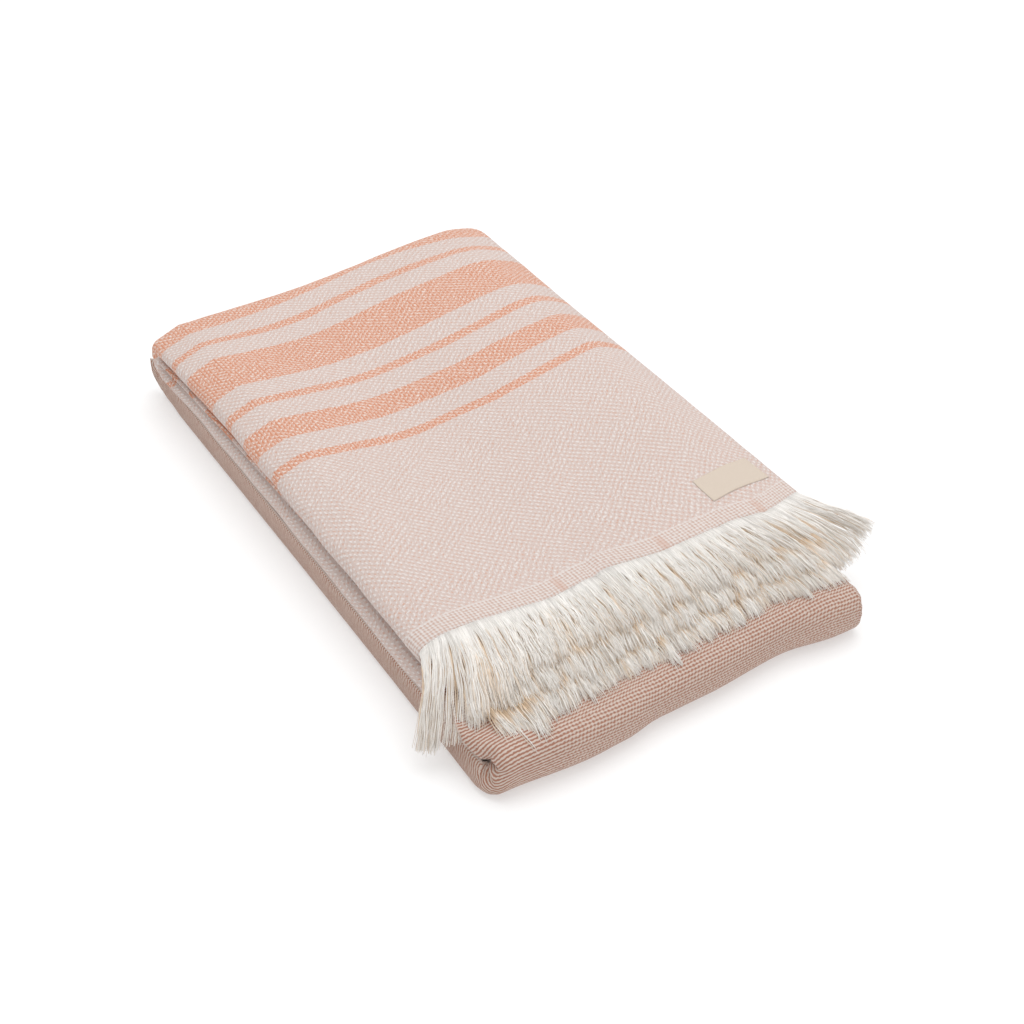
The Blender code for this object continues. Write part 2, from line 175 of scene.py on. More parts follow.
def blended(lines: Array, index: Array, share: Array) -> Array:
    """Mixes two neighbouring lines at each point: low plus share times high less low.

    Args:
        lines: Values, as lines by points.
        index: The lower line of the two, for each point.
        share: 0 for the lower line, 1 for the next one.

    Returns:
        A value for each point.
    """
    low = np.take_along_axis(lines, index[None], axis=0)[0]
    high = np.take_along_axis(lines, index[None] + 1, axis=0)[0]
    return low + (high - low) * share


# How the soft stack departs from straight


class Crown(NamedTuple):
    """Heights of the top of the stack across one place y."""

    y: float
    left_edge: float
    left_ridge: float
    hollow: float
    right_ridge: float
    right_edge: float


class Bulge(NamedTuple):
    """How far the front fold stands forward at one place x."""

    x: float
    forward: float


class Crease(NamedTuple):
    """A soft trough: its middle, its heading from +x in degrees, half sizes, and its depth."""

    x: float
    y: float
    heading: float
    half_length: float
    half_width: float
    depth: float


@dataclass(frozen=True)
class Settling:
    """Moves points of the straight stack to where the soft stack has them."""

    across: tuple[float, ...] = (0.000, 0.025, 0.122, 0.292, 0.345)
    crowns: tuple[Crown, ...] = (
        Crown(0.010, 0.0640, 0.0685, 0.0645, 0.0690, 0.0640),
        Crown(0.100, 0.0650, 0.0700, 0.0650, 0.0725, 0.0670),
        Crown(0.323, 0.0730, 0.0815, 0.0695, 0.0900, 0.0730),
        Crown(0.409, 0.0740, 0.0825, 0.0710, 0.0910, 0.0730),
        Crown(0.494, 0.0710, 0.0795, 0.0715, 0.0905, 0.0750),
        Crown(0.550, 0.0665, 0.0750, 0.0738, 0.0850, 0.0750),
    )
    bulges: tuple[Bulge, ...] = (
        Bulge(-0.040, 0.000),
        Bulge(0.005, 0.000),
        Bulge(0.080, 0.0055),
        Bulge(0.110, 0.0040),
        Bulge(0.145, -0.0015),
        Bulge(0.186, -0.0020),
        Bulge(0.262, -0.007),
        Bulge(0.312, 0.000),
        Bulge(0.380, 0.002),
    )
    bulge_depth: float = 0.066
    creases: tuple[Crease, ...] = (
        Crease(0.155, 0.112, 78.0, 0.030, 0.0040, 0.0022),
        Crease(0.262, 0.112, 84.0, 0.022, 0.0030, 0.0016),
        Crease(0.060, 0.240, 70.0, 0.080, 0.0120, 0.0007),
        Crease(0.200, 0.200, 55.0, 0.070, 0.0140, 0.0009),
        Crease(0.150, 0.330, 20.0, 0.090, 0.0150, 0.0008),
        Crease(0.095, 0.455, 8.0, 0.060, 0.0100, 0.0009),
        Crease(0.245, 0.395, -12.0, 0.070, 0.0120, 0.0008),
        Crease(0.300, 0.160, 62.0, 0.045, 0.0090, 0.0010),
    )
    swell: float = 0.0006
    swell_across: tuple[float, ...] = (0.083, 0.047, 0.031)
    swell_along: tuple[float, ...] = (0.117, 0.061, 0.043)

    def top(self, x: Array, y: Array) -> Array:
        """Height of the top: eased between table rows and columns, less the creases' troughs.

        Args:
            x: Places across.
            y: Places along.

        Returns:
            The height at each.
        """
        rows = column(self.crowns, "y")
        lines = np.stack([eased(rows, column(self.crowns, name), y) for name in Crown._fields[1:]])
        index, share = between(np.array(self.across), x)
        height = blended(lines, index, smooth(share))
        for crease in self.creases:
            turn = math.radians(crease.heading)
            along = (x - crease.x) * math.cos(turn) + (y - crease.y) * math.sin(turn)
            aside = (y - crease.y) * math.cos(turn) - (x - crease.x) * math.sin(turn)
            fade = np.exp(-((along / crease.half_length) ** 2) - (aside / crease.half_width) ** 2)
            height = height - crease.depth * fade
        ripple = waves(x + 0.35 * y, self.swell_across, 3) * waves(y - 0.2 * x, self.swell_along, 4)
        return height + self.swell * ripple

    def settle(self, points: Array) -> Array:
        """Scales heights to the top's, and pushes the front forward by the bulges' table.

        Args:
            points: Points of the straight stack, in any shape that ends in x, y and z.

        Returns:
            The moved points, in the same shape.
        """
        x, y, z = points[..., 0], points[..., 1], points[..., 2]
        rise = (self.top(x, y) - STACK.ply) / (STACK.height - STACK.ply)
        height = STACK.ply / 2 + (z - STACK.ply / 2) * rise
        forward = eased(column(self.bulges, "x"), column(self.bulges, "forward"), x)
        share = 1.0 - smooth((y - STACK.front_edge) / self.bulge_depth)
        return np.stack([x, y - forward * share, height], axis=-1)


SETTLING = Settling()


# Mesh helpers


def sheet_faces(rows: int, columns: int) -> tuple[Array, Array, Array]:
    """Four-sided faces of a closed sheet whose two faces are stored one after the other.

    Args:
        rows: Rows of points in a face.
        columns: Points in a row.

    Returns:
        Corners of the first face, of the second, and of the rim that joins their borders.
    """
    count = rows * columns
    index = np.arange(count).reshape(rows, columns)
    corners = (index[:-1, :-1], index[:-1, 1:], index[1:, 1:], index[1:, :-1])
    lattice = np.stack([corner.reshape(-1) for corner in corners], axis=1)
    border = np.concatenate([index[0, :-1], index[:-1, -1], index[-1, :0:-1], index[:0:-1, 0]])
    after = np.roll(border, -1)
    rim = np.stack([border, after, after + count, border + count], axis=1)
    return lattice[:, ::-1], lattice + count, rim


def tube_faces(count: int, rings: int, corners: int) -> Array:
    """Triangles of closed tubes: two for each side of each stretch, and a fan for each cap.

    Args:
        count: How many tubes.
        rings: Rings of points in a tube.
        corners: Points in a ring.

    Returns:
        Corners of each triangle.
    """
    ring = np.arange(corners)
    after = (ring + 1) % corners
    level = (np.arange(rings - 1) * corners)[:, None]
    low, low_next = level + ring, level + after
    high, high_next = low + corners, low_next + corners
    halves = ((low, high_next, low_next), (low, high, high_next))
    walls = [np.stack(half, axis=-1).reshape(-1, 3) for half in halves]
    fan = np.stack([0 * ring[2:], ring[1:-1], ring[2:]], axis=-1)
    one = np.concatenate([*walls, fan, (rings - 1) * corners + fan[:, ::-1]])
    return (one + (np.arange(count) * rings * corners)[:, None, None]).reshape(-1, 3)


def ring_angles(corners: int) -> Array:
    """Even angles once round."""
    return np.linspace(0.0, 2.0 * math.pi, corners + 1)[:-1]


def new_piece(
    name: str,
    points: Array,
    faces: Array,
    materials: Sequence[bpy.types.Material],
    slots: Optional[Array] = None,
    maps: Optional[dict[str, Array]] = None,
) -> bpy.types.Object:
    """Makes a smooth-shaded object from whole arrays.

    Args:
        name: The piece's name.
        points: Its points, in the stack's coordinates.
        faces: Corners of its faces, all with as many corners.
        materials: Its materials.
        slots: The material of each face, or None for the first.
        maps: UV maps by name, with one pair for each point.

    Returns:
        The new object, at the origin.
    """
    mesh = bpy.data.meshes.new(name)
    sides = faces.shape[1]
    mesh.vertices.add(len(points))
    mesh.vertices.foreach_set("co", (points + STACK_TO_ROW).astype(np.float32).reshape(-1))
    mesh.loops.add(faces.size)
    mesh.loops.foreach_set("vertex_index", faces.astype(np.int32).reshape(-1))
    mesh.polygons.add(len(faces))
    mesh.polygons.foreach_set("loop_start", np.arange(0, faces.size, sides, dtype=np.int32))
    mesh.polygons.foreach_set("use_smooth", np.ones(len(faces), dtype=bool))
    for material in materials:
        mesh.materials.append(material)
    if slots is not None:
        mesh.polygons.foreach_set("material_index", slots.astype(np.int32))
    for map_name, pairs in (maps or {}).items():
        layer = mesh.uv_layers.new(name=map_name)
        layer.data.foreach_set("uv", pairs[faces.reshape(-1)].astype(np.float32).reshape(-1))
    mesh.update(calc_edges=True)
    mesh.validate()
    piece = bpy.data.objects.new(name, mesh)
    bpy.context.scene.collection.objects.link(piece)
    return piece


# Shader wiring


class Effect(Enum):
    """The shared shader groups."""

    FLOATS = "woven_floats"
    DYE = "uneven_dye"
    LINT = "cotton_lint"


class Wiring:
    """Adds nodes to one tree and joins them up."""

    def __init__(self, tree: bpy.types.NodeTree) -> None:
        """Keeps the tree."""
        self.tree = tree

    def node(self, kind: str, **settings: object) -> bpy.types.Node:
        """Adds a node.

        Args:
            kind: Its type name.
            settings: Its attributes.

        Returns:
            The node.
        """
        made = self.tree.nodes.new(kind)
        for name, value in settings.items():
            setattr(made, name, value)
        return made

    def plug(self, socket: Socket, value: Union[Plug, Colour]) -> None:
        """Links or sets one input.

        Args:
            socket: The input.
            value: A socket to link, a number, or a colour.
        """
        if isinstance(value, Socket):
            self.tree.links.new(value, socket)
        elif isinstance(value, tuple):
            socket.default_value = (*value, 1.0)[: len(socket.default_value)]
        else:
            socket.default_value = value

    def made(
        self, kind: str, inputs: dict[Union[int, str], Union[Plug, Colour]], **settings: object
    ) -> bpy.types.bpy_prop_collection:
        """Adds a node and plugs its inputs.

        Args:
            kind: Its type name.
            inputs: What goes into each input, by place or name.
            settings: Its attributes.

        Returns:
            Its outputs.
        """
        node = self.node(kind, **settings)
        for place, value in inputs.items():
            self.plug(node.inputs[place], value)
        return node.outputs

    def math(self, operation: str, *values: Plug) -> Socket:
        """A Math node's result."""
        return self.made("ShaderNodeMath", dict(enumerate(values)), operation=operation)[0]

    def scale_add(self, value: Plug, factor: Plug, rest: Plug) -> Socket:
        """A value times a factor, plus the rest."""
        return self.math("MULTIPLY_ADD", value, factor, rest)

    def apart(self, first: Plug, second: Plug) -> Socket:
        """How far two values lie apart."""
        return self.math("ABSOLUTE", self.math("SUBTRACT", first, second))

    def cosine(self, value: Plug, pitch: Plug) -> Socket:
        """The cosine of a full turn for each pitch of value."""
        turns = self.math("MULTIPLY", self.math("DIVIDE", value, pitch), 2.0 * math.pi)
        return self.math("COSINE", turns)

    def ramp(self, value: Plug, low: Plug, high: Plug) -> Socket:
        """A smooth step from 0 at low to 1 at high, which may lie below low."""
        inputs = {0: value, 1: low, 2: high}
        return self.made("ShaderNodeMapRange", inputs, interpolation_type="SMOOTHSTEP")[0]

    def mix(self, share: Plug, first: Union[Plug, Colour], second: Union[Plug, Colour]) -> Socket:
        """A mix of two colours: the first at a share of 0, the second at 1."""
        return self.made("ShaderNodeMix", {0: share, 6: first, 7: second}, data_type="RGBA")[2]

    def tint(self, colour: Plug, value: Plug) -> Socket:
        """A colour times a number."""
        return self.made("ShaderNodeVectorMath", {0: colour, 3: value}, operation="SCALE")[0]

    def noise(self, vector: Plug, scale: Plug, detail: float) -> Socket:
        """Smooth noise from 0 to 1, at that many cells for each unit of the vector."""
        inputs = {"Vector": vector, "Scale": scale, "Detail": detail}
        return self.made("ShaderNodeTexNoise", inputs)["Fac"]

    def split(self, vector: Plug) -> tuple[Socket, Socket]:
        """The first two parts of a vector."""
        parts = self.made("ShaderNodeSeparateXYZ", {0: vector})
        return parts[0], parts[1]

    def uv(self, name: str) -> Socket:
        """A named UV map."""
        return self.node("ShaderNodeUVMap", uv_map=name).outputs[0]

    def effect(self, effect: Effect, **values: Union[Plug, Colour]) -> bpy.types.bpy_prop_collection:
        """Places a shared group, takes its inputs by name, and gives its outputs."""
        return self.made("ShaderNodeGroup", values, node_tree=bpy.data.node_groups[effect.value])


@dataclass(frozen=True)
class SharedEffects:
    """Builds the node groups that more than one finish uses. Noise is in cells a metre."""

    waver_cells: float = 180.0
    patch_cells: float = 38.0
    cloud_cells: float = 14.0
    speck_cells: float = 900.0
    hair_cells: float = 1700.0
    strokes: Triple = (330.0, 760.0, 0.0)
    raggedness: float = 3.0
    yarn_pitch: float = 0.0012
    stagger_share: float = 0.50
    column_share: float = 0.45

    def group(
        self, effect: Effect, takes: Sequence[str], gives: Sequence[str]
    ) -> tuple[Wiring, dict[str, Socket], bpy.types.Node]:
        """Starts a group.

        Args:
            effect: Its name.
            takes: Inputs; the first is a vector, the others numbers.
            gives: Outputs, all numbers.

        Returns:
            Its wiring, its inputs by name, and its output node.
        """
        tree = bpy.data.node_groups.new(effect.value, "ShaderNodeTree")
        for index, name in enumerate(takes):
            kind = "NodeSocketFloat" if index else "NodeSocketVector"
            tree.interface.new_socket(name, in_out="INPUT", socket_type=kind)
        for name in gives:
            tree.interface.new_socket(name, in_out="OUTPUT", socket_type="NodeSocketFloat")
        wiring = Wiring(tree)
        source = wiring.node("NodeGroupInput")
        return wiring, {name: source.outputs[name] for name in takes}, wiring.node("NodeGroupOutput")

    def floats(self) -> None:
        """Staggered floats: the columns' cosine, plus the cosines of both diagonals.

        Slow noise favours one diagonal or the other, as the eye does on such a weave.
        """
        wiring, takes, out = self.group(
            Effect.FLOATS, ("Vector", "Across", "Along", "Waver"), ("Floats", "Ties", "Ragged", "Yarns")
        )
        across, along = wiring.split(takes["Vector"])
        drift = wiring.math("SUBTRACT", wiring.noise(takes["Vector"], self.waver_cells, 2.0), 0.5)
        across = wiring.scale_add(drift, takes["Waver"], across)
        along = wiring.scale_add(drift, takes["Waver"], along)
        columns = wiring.cosine(across, wiring.math("MULTIPLY", takes["Across"], 0.5))
        step_across = wiring.math("DIVIDE", across, takes["Across"])
        step_along = wiring.math("DIVIDE", along, takes["Along"])
        rising = wiring.cosine(wiring.math("ADD", step_across, step_along), 1.0)
        falling = wiring.cosine(wiring.math("SUBTRACT", step_across, step_along), 1.0)
        patch = wiring.ramp(wiring.noise(takes["Vector"], self.patch_cells, 1.0), 0.38, 0.62)
        falling = wiring.math("MULTIPLY", falling, wiring.math("SUBTRACT", 1.0, patch))
        stagger = wiring.scale_add(rising, patch, falling)
        stretched = {0: takes["Vector"], 1: self.strokes}
        stretched = wiring.made("ShaderNodeVectorMath", stretched, operation="MULTIPLY")[0]
        ragged = wiring.math("SUBTRACT", wiring.noise(stretched, 1.0, 1.0), 0.5)
        rough = wiring.math("MULTIPLY", ragged, self.raggedness)
        uneven = wiring.scale_add(columns, self.column_share, rough)
        yarns = [wiring.cosine(step, self.yarn_pitch) for step in (across, along)]
        given = {
            "Floats": wiring.scale_add(stagger, self.stagger_share, uneven),
            "Ties": wiring.scale_add(stagger, -self.stagger_share, uneven),
            "Ragged": ragged,
            "Yarns": wiring.math("MULTIPLY", *yarns),
        }
        for name, value in given.items():
            wiring.plug(out.inputs[name], value)

    def dye(self) -> None:
        """Cloudy tone: wide noise and fine noise round 1."""
        wiring, takes, out = self.group(Effect.DYE, ("Vector", "Clouds", "Specks"), ("Tone",))
        wide = wiring.math("SUBTRACT", wiring.noise(takes["Vector"], self.cloud_cells, 2.0), 0.5)
        fine = wiring.math("SUBTRACT", wiring.noise(takes["Vector"], self.speck_cells, 2.0), 0.5)
        tone = wiring.scale_add(wide, takes["Clouds"], 1.0)
        wiring.plug(out.inputs["Tone"], wiring.scale_add(fine, takes["Specks"], tone))

    def lint(self) -> None:
        """Loose fibres: noise at hair scale."""
        wiring, takes, out = self.group(Effect.LINT, ("Vector", "Amount"), ("Height",))
        hairs = wiring.noise(takes["Vector"], self.hair_cells, 3.0)
        wiring.plug(out.inputs["Height"], wiring.math("MULTIPLY", hairs, takes["Amount"]))

    def build(self) -> None:
        """Builds every group."""
        self.floats()
        self.dye()
        self.lint()


class Finish:
    """A non-metallic cotton finish: a Principled shader, its colour and its relief."""

    def __init__(self, name: str, roughness: float, sheen: float) -> None:
        """Starts the material.

        Args:
            name: Its name.
            roughness: Of the shader.
            sheen: Weight of the soft rim light that fibres give.
        """
        self.material = bpy.data.materials.new(name)
        self.material.use_nodes = True
        self.wiring = Wiring(self.material.node_tree)
        self.shader = self.material.node_tree.nodes["Principled BSDF"]
        settings = {
            "Roughness": roughness,
            "Metallic": 0.0,
            "Specular IOR Level": 0.25,
            "Sheen Weight": sheen,
            "Sheen Roughness": 0.5,
        }
        for name, value in settings.items():
            self.shader.inputs[name].default_value = value

    def colour(self, value: Union[Plug, Colour]) -> None:
        """Sets the base colour."""
        self.wiring.plug(self.shader.inputs["Base Color"], value)

    def glow(self, colour: Colour, strength: float) -> None:
        """Gives the surface a light of its own."""
        self.wiring.plug(self.shader.inputs["Emission Color"], colour)
        self.wiring.plug(self.shader.inputs["Emission Strength"], strength)

    def relief(self, height: Plug, depth: float) -> None:
        """Adds a bump: height goes from 0 to 1, and depth is how deep 1 is, in metres."""
        bump = self.wiring.made("ShaderNodeBump", {"Strength": 1.0, "Distance": depth, "Height": height})
        self.wiring.plug(self.shader.inputs["Normal"], bump[0])


WEAVE_MAP = "Weave"
MARGIN_MAP = "Margins"


@dataclass(frozen=True)
class Stripe:
    """A pair of stripes at one distance from the pattern's middle line, or the middle one at 0."""

    distance: float
    half_width: float


@dataclass(frozen=True)
class WeaveSizes:
    """Steps of the weave and places of the stripes, along the flat cloth.

    tooth is how far the floats push a stripe's edge, and soft_edge half of how far it fades.
    """

    across: float = 0.00605
    along: float = 0.0052
    rib: float = 0.0026
    hem: float = 0.0190
    hem_line: float = 0.0012
    hem_rib: float = 0.00302
    # Places across of the hem's pleats, where painted shade darkens the hem.
    pleats: tuple[float, ...] = (0.044, 0.131, 0.222)
    pleat_half: float = 0.0055
    selvedge: float = 0.0018
    pattern_middle: float = 0.3670
    tooth: float = 0.0007
    soft_edge: float = 0.0004
    stripes: tuple[Stripe, ...] = (
        Stripe(0.0, 0.0270),
        Stripe(0.0570, 0.0050),
        Stripe(0.1010, 0.0137),
        Stripe(0.1440, 0.0050),
    )

    def stripe_mask(self, wiring: Wiring, along: Plug, tooth: Plug) -> Socket:
        """1 on the stripes, whose edges follow the floats a little.

        Args:
            wiring: Of the material.
            along: Distance from the near cut end.
            tooth: The floats.

        Returns:
            The mask.
        """
        aside = wiring.apart(wiring.scale_add(tooth, self.tooth, along), self.pattern_middle)
        found: Plug = 0.0
        for stripe in self.stripes:
            off = wiring.apart(aside, stripe.distance)
            inner, outer = stripe.half_width - self.soft_edge, stripe.half_width + self.soft_edge
            found = wiring.math("MAXIMUM", found, wiring.ramp(off, outer, inner))
        return found


WEAVE = WeaveSizes()


class ClothFinish(Finish):
    """What both faces of the cloth share: their maps, floats, dye, lint and stripes."""

    def __init__(self, name: str, waver: float, clouds: float, specks: float) -> None:
        """Reads the maps and places the shared groups.

        Args:
            name: The material's name.
            waver: How far the floats wander, in metres.
            clouds: Depth of the dye's wide unevenness.
            specks: Depth of the dye's fine unevenness.
        """
        super().__init__(name, 0.92, 0.12)
        wiring = self.wiring
        weave = wiring.uv(WEAVE_MAP)
        self.across, self.along = wiring.split(weave)
        self.selvedge, self.end = wiring.split(wiring.uv(MARGIN_MAP))
        steps = {"Across": WEAVE.across, "Along": WEAVE.along}
        self.woven = wiring.effect(Effect.FLOATS, Vector=weave, Waver=waver, **steps)
        self.dye = wiring.effect(Effect.DYE, Vector=weave, Clouds=clouds, Specks=specks)
        self.lint = wiring.effect(Effect.LINT, Vector=weave, Amount=0.25)
        self.upright = wiring.cosine(self.across, WEAVE.hem_rib)
        self.stripes = WEAVE.stripe_mask(wiring, self.along, self.woven["Floats"])

    def finished(self, body: Plug, height: Plug, depth: float) -> bpy.types.Material:
        """Tints the colour by the dye, and adds yarns and lint to the relief.

        Args:
            body: The colour.
            height: The relief, from 0 to 1.
            depth: How deep 1 is, in metres.

        Returns:
            The material.
        """
        self.colour(self.wiring.tint(body, self.dye["Tone"]))
        height = self.wiring.scale_add(self.woven["Yarns"], 0.15, height)
        self.relief(self.wiring.math("ADD", height, self.lint["Height"]), depth)
        return self.material


@dataclass(frozen=True)
class LightFace:
    """The pale face: white floats on a pink-beige ground, and on peach in the stripes.

    Its hem is ribbed both ways and ends in a cream line. Painted shade darkens it at the pleats.
    """

    ground: Colour = (0.588, 0.483, 0.442)
    floats: Colour = (0.695, 0.642, 0.618)
    ties: Colour = (0.555, 0.340, 0.262)
    stripe_ground: Colour = (0.634, 0.385, 0.295)
    stripe_floats: Colour = (0.725, 0.610, 0.550)
    stripe_ties: Colour = (0.560, 0.235, 0.140)
    hem_rose: Colour = (0.530, 0.370, 0.310)
    hem_cream: Colour = (0.680, 0.622, 0.594)
    waver: float = 0.0040
    raggedness: float = 3.2
    line_core: float = 0.0003
    line_share: float = 0.6
    pleat_shade_core: float = 0.0010
    pleat_shade_share: float = 0.45
    height: float = 0.00028

    def weave(self, face: ClothFinish) -> Socket:
        """Colours of the body: its ground, then the sunk ties, then the raised floats.

        Args:
            face: The finish.

        Returns:
            The colour.
        """
        wiring = face.wiring
        raised = wiring.ramp(face.woven["Floats"], 0.15, 0.95)
        sunk = wiring.ramp(face.woven["Ties"], 0.30, 1.10)
        peach = wiring.mix(wiring.ramp(face.upright, 0.9, -0.7), self.stripe_ties, self.stripe_ground)
        body = wiring.mix(face.stripes, self.ground, peach)
        body = wiring.mix(sunk, body, wiring.mix(face.stripes, self.ties, self.stripe_ties))
        return wiring.mix(raised, body, wiring.mix(face.stripes, self.floats, self.stripe_floats))

    def hem(self, face: ClothFinish, body: Plug, in_band: Plug, threads: Plug) -> Socket:
        """Lays the hem's ribs, its cream line and the pleats' painted shade over the body.

        Args:
            face: The finish.
            body: The colour of the rest.
            in_band: 1 in the hem.
            threads: 1 on its ribs.

        Returns:
            The colour.
        """
        wiring = face.wiring
        body = wiring.mix(in_band, body, wiring.mix(threads, self.hem_rose, self.hem_cream))
        line = wiring.ramp(wiring.apart(face.end, WEAVE.hem), WEAVE.hem_line, self.line_core)
        body = wiring.mix(wiring.math("MULTIPLY", line, self.line_share), body, self.hem_cream)
        # Painted shade: bars of the ties' colour at the pleats, near the cut end.
        pleat_shade: Plug = 0.0
        for pleat in WEAVE.pleats:
            here = wiring.ramp(wiring.apart(face.across, pleat), WEAVE.pleat_half, self.pleat_shade_core)
            pleat_shade = wiring.math("MAXIMUM", pleat_shade, here)
        near = wiring.ramp(face.end, WEAVE.hem * 1.35, WEAVE.hem * 0.5)
        pleat_shade = wiring.math("MULTIPLY", pleat_shade, near)
        return wiring.mix(wiring.math("MULTIPLY", pleat_shade, self.pleat_shade_share), body, self.ties)

    def build(self) -> bpy.types.Material:
        """Wires the finish.

        Returns:
            The material.
        """
        face = ClothFinish("light_face", self.waver, 0.04, 0.20)
        wiring = face.wiring
        level = wiring.math("MULTIPLY", wiring.cosine(face.along, WEAVE.rib), 0.5)
        threads = wiring.scale_add(face.upright, 0.7, level)
        threads = wiring.scale_add(face.woven["Ragged"], self.raggedness, threads)
        threads = wiring.ramp(threads, -1.3, 1.0)
        in_band = wiring.ramp(face.end, WEAVE.hem + WEAVE.soft_edge, WEAVE.hem - WEAVE.soft_edge)
        plain = wiring.scale_add(face.woven["Floats"], 0.5, 0.5)
        height = wiring.mix(in_band, plain, threads)
        return face.finished(self.hem(face, self.weave(face), in_band, threads), height, self.height)


@dataclass(frozen=True)
class RoseFace:
    """The reverse: cream ribs across the cloth, with rose yarns in short dashes between them.

    Near the selvedge, inside plain_border, the ribs are bolder and the dashes fade out.
    """

    rose: Colour = (0.375, 0.180, 0.122)
    cream: Colour = (0.620, 0.510, 0.445)
    peach: Colour = (0.560, 0.260, 0.165)
    waver: float = 0.0016
    rib_waver: float = 0.00025
    raggedness: float = 1.6
    columns: float = 0.65
    plain_border: tuple[float, float] = (0.035, 0.080)
    stripe_share: float = 0.6
    edge_share: float = 0.85
    height: float = 0.0005

    def build(self) -> bpy.types.Material:
        """Wires the finish.

        Returns:
            The material.
        """
        face = ClothFinish("rose_reverse", self.waver, 0.05, 0.24)
        wiring, woven = face.wiring, face.woven
        rib = wiring.cosine(wiring.scale_add(woven["Floats"], self.rib_waver, face.along), WEAVE.rib)
        inner = wiring.ramp(face.selvedge, *self.plain_border)
        columns = wiring.math("MULTIPLY", face.upright, inner)
        dashes = wiring.math("MULTIPLY", rib, wiring.scale_add(inner, -1.2, 2.2))
        dashes = wiring.scale_add(columns, self.columns, dashes)
        dashes = wiring.scale_add(woven["Ragged"], self.raggedness, dashes)
        at_edge = wiring.ramp(face.selvedge, WEAVE.selvedge, WEAVE.selvedge - 2.0 * WEAVE.soft_edge)
        at_edge = wiring.math("MULTIPLY", at_edge, self.edge_share)
        raised = wiring.math("MAXIMUM", wiring.ramp(dashes, -1.15, 0.95), at_edge)
        striped = wiring.math("MULTIPLY", face.stripes, self.stripe_share)
        body = wiring.mix(raised, wiring.mix(striped, self.rose, self.peach), self.cream)
        return face.finished(body, wiring.scale_add(rib, 0.5, 0.5), self.height)


@dataclass(frozen=True)
class FringeYarn:
    """Undyed cotton yarn: white, with painted golden shade between and under the locks.

    A slight warm glow is painted light: it stands for the light that comes through the loose yarns.
    """

    body: Colour = (0.898, 0.880, 0.856)
    # Colours of painted shade: under for yarns in the locks' shade, deep for the darkest.
    under: Colour = (0.775, 0.600, 0.430)
    deep: Colour = (0.530, 0.390, 0.265)
    sheen: float = 0.15
    through: Colour = (1.0, 0.80, 0.57)
    glow: float = 0.064
    twist_pitch: float = 0.016

    def build(self) -> bpy.types.Material:
        """Wires the finish.

        Returns:
            The material.
        """
        finish = Finish("fringe_yarn", 0.90, self.sheen)
        wiring = finish.wiring
        chance, along = wiring.split(wiring.uv(WEAVE_MAP))
        shade, lock = wiring.split(wiring.uv(MARGIN_MAP))
        # Painted shade: the Margins map's first number turns the white yarn golden, then deep brown.
        body = wiring.mix(wiring.ramp(shade, 0.25, 1.05), self.body, self.under)
        body = wiring.mix(wiring.ramp(shade, 0.95, 1.7), body, self.deep)
        tone = wiring.scale_add(chance, 0.24, wiring.scale_add(lock, 0.04, 0.77))
        tone = wiring.scale_add(wiring.ramp(along, 0.05, 0.45), 0.04, tone)
        twist = wiring.scale_add(wiring.cosine(along, self.twist_pitch), 0.03, tone)
        finish.colour(wiring.tint(body, twist))
        # Painted light: a warm glow for the light that passes through the yarns.
        finish.glow(self.through, self.glow)
        return finish.material


@dataclass(frozen=True)
class LabelTape:
    """Plain woven tape in natural cotton."""

    tape: Colour = (0.640, 0.550, 0.465)
    shade: Colour = (0.565, 0.476, 0.394)
    warp_pitch: float = 0.0011
    weft_pitch: float = 0.0009
    height: float = 0.00015

    def build(self) -> bpy.types.Material:
        """Wires the finish.

        Returns:
            The material.
        """
        finish = Finish("label_tape", 0.80, 0.05)
        wiring = finish.wiring
        weave = wiring.uv(WEAVE_MAP)
        across, along = wiring.split(weave)
        dye = wiring.effect(Effect.DYE, Vector=weave, Clouds=0.04, Specks=0.20)
        lint = wiring.effect(Effect.LINT, Vector=weave, Amount=0.2)
        warp, weft = wiring.cosine(across, self.warp_pitch), wiring.cosine(along, self.weft_pitch)
        threads = wiring.math("MULTIPLY", warp, weft)
        body = wiring.mix(wiring.ramp(threads, -1.0, 0.6), self.shade, self.tape)
        finish.colour(wiring.tint(body, dye["Tone"]))
        height = wiring.scale_add(threads, 0.4, lint["Height"])
        finish.relief(height, self.height)
        return finish.material


@dataclass(frozen=True)
class PlainFinish:
    """One even colour, for the floor, which glows a little, and the sewing thread."""

    name: str
    shade: Colour
    roughness: float
    glow: float = 0.0

    def build(self) -> bpy.types.Material:
        """Wires the finish.

        Returns:
            The material.
        """
        finish = Finish(self.name, self.roughness, 0.0)
        finish.colour(self.shade)
        finish.glow((1.0, 1.0, 1.0), self.glow)
        return finish.material


# The cloth


class Panel(Enum):
    """The three panels of the strip, by their order from the top."""

    UPPER = 0
    MIDDLE = 1
    LOWER = 2


class Section(NamedTuple):
    """The strip's cross-section at one place of its path.

    place counts the stretches: 0 to 1 the top strip, 1 to 2 the back fold, 2 to 3 the middle
    strip, 3 to 4 the front fold, 4 to 5 the bottom strip. The last panel's end is tail long and
    stands up at bend; its top leans inwards by lean and ripples by ruffle.
    """

    place: float
    left: float
    right: float
    upper_h: float
    middle_h: float
    lower_h: float
    tail: float
    bend: float
    droop: float
    lean: float
    ruffle: float


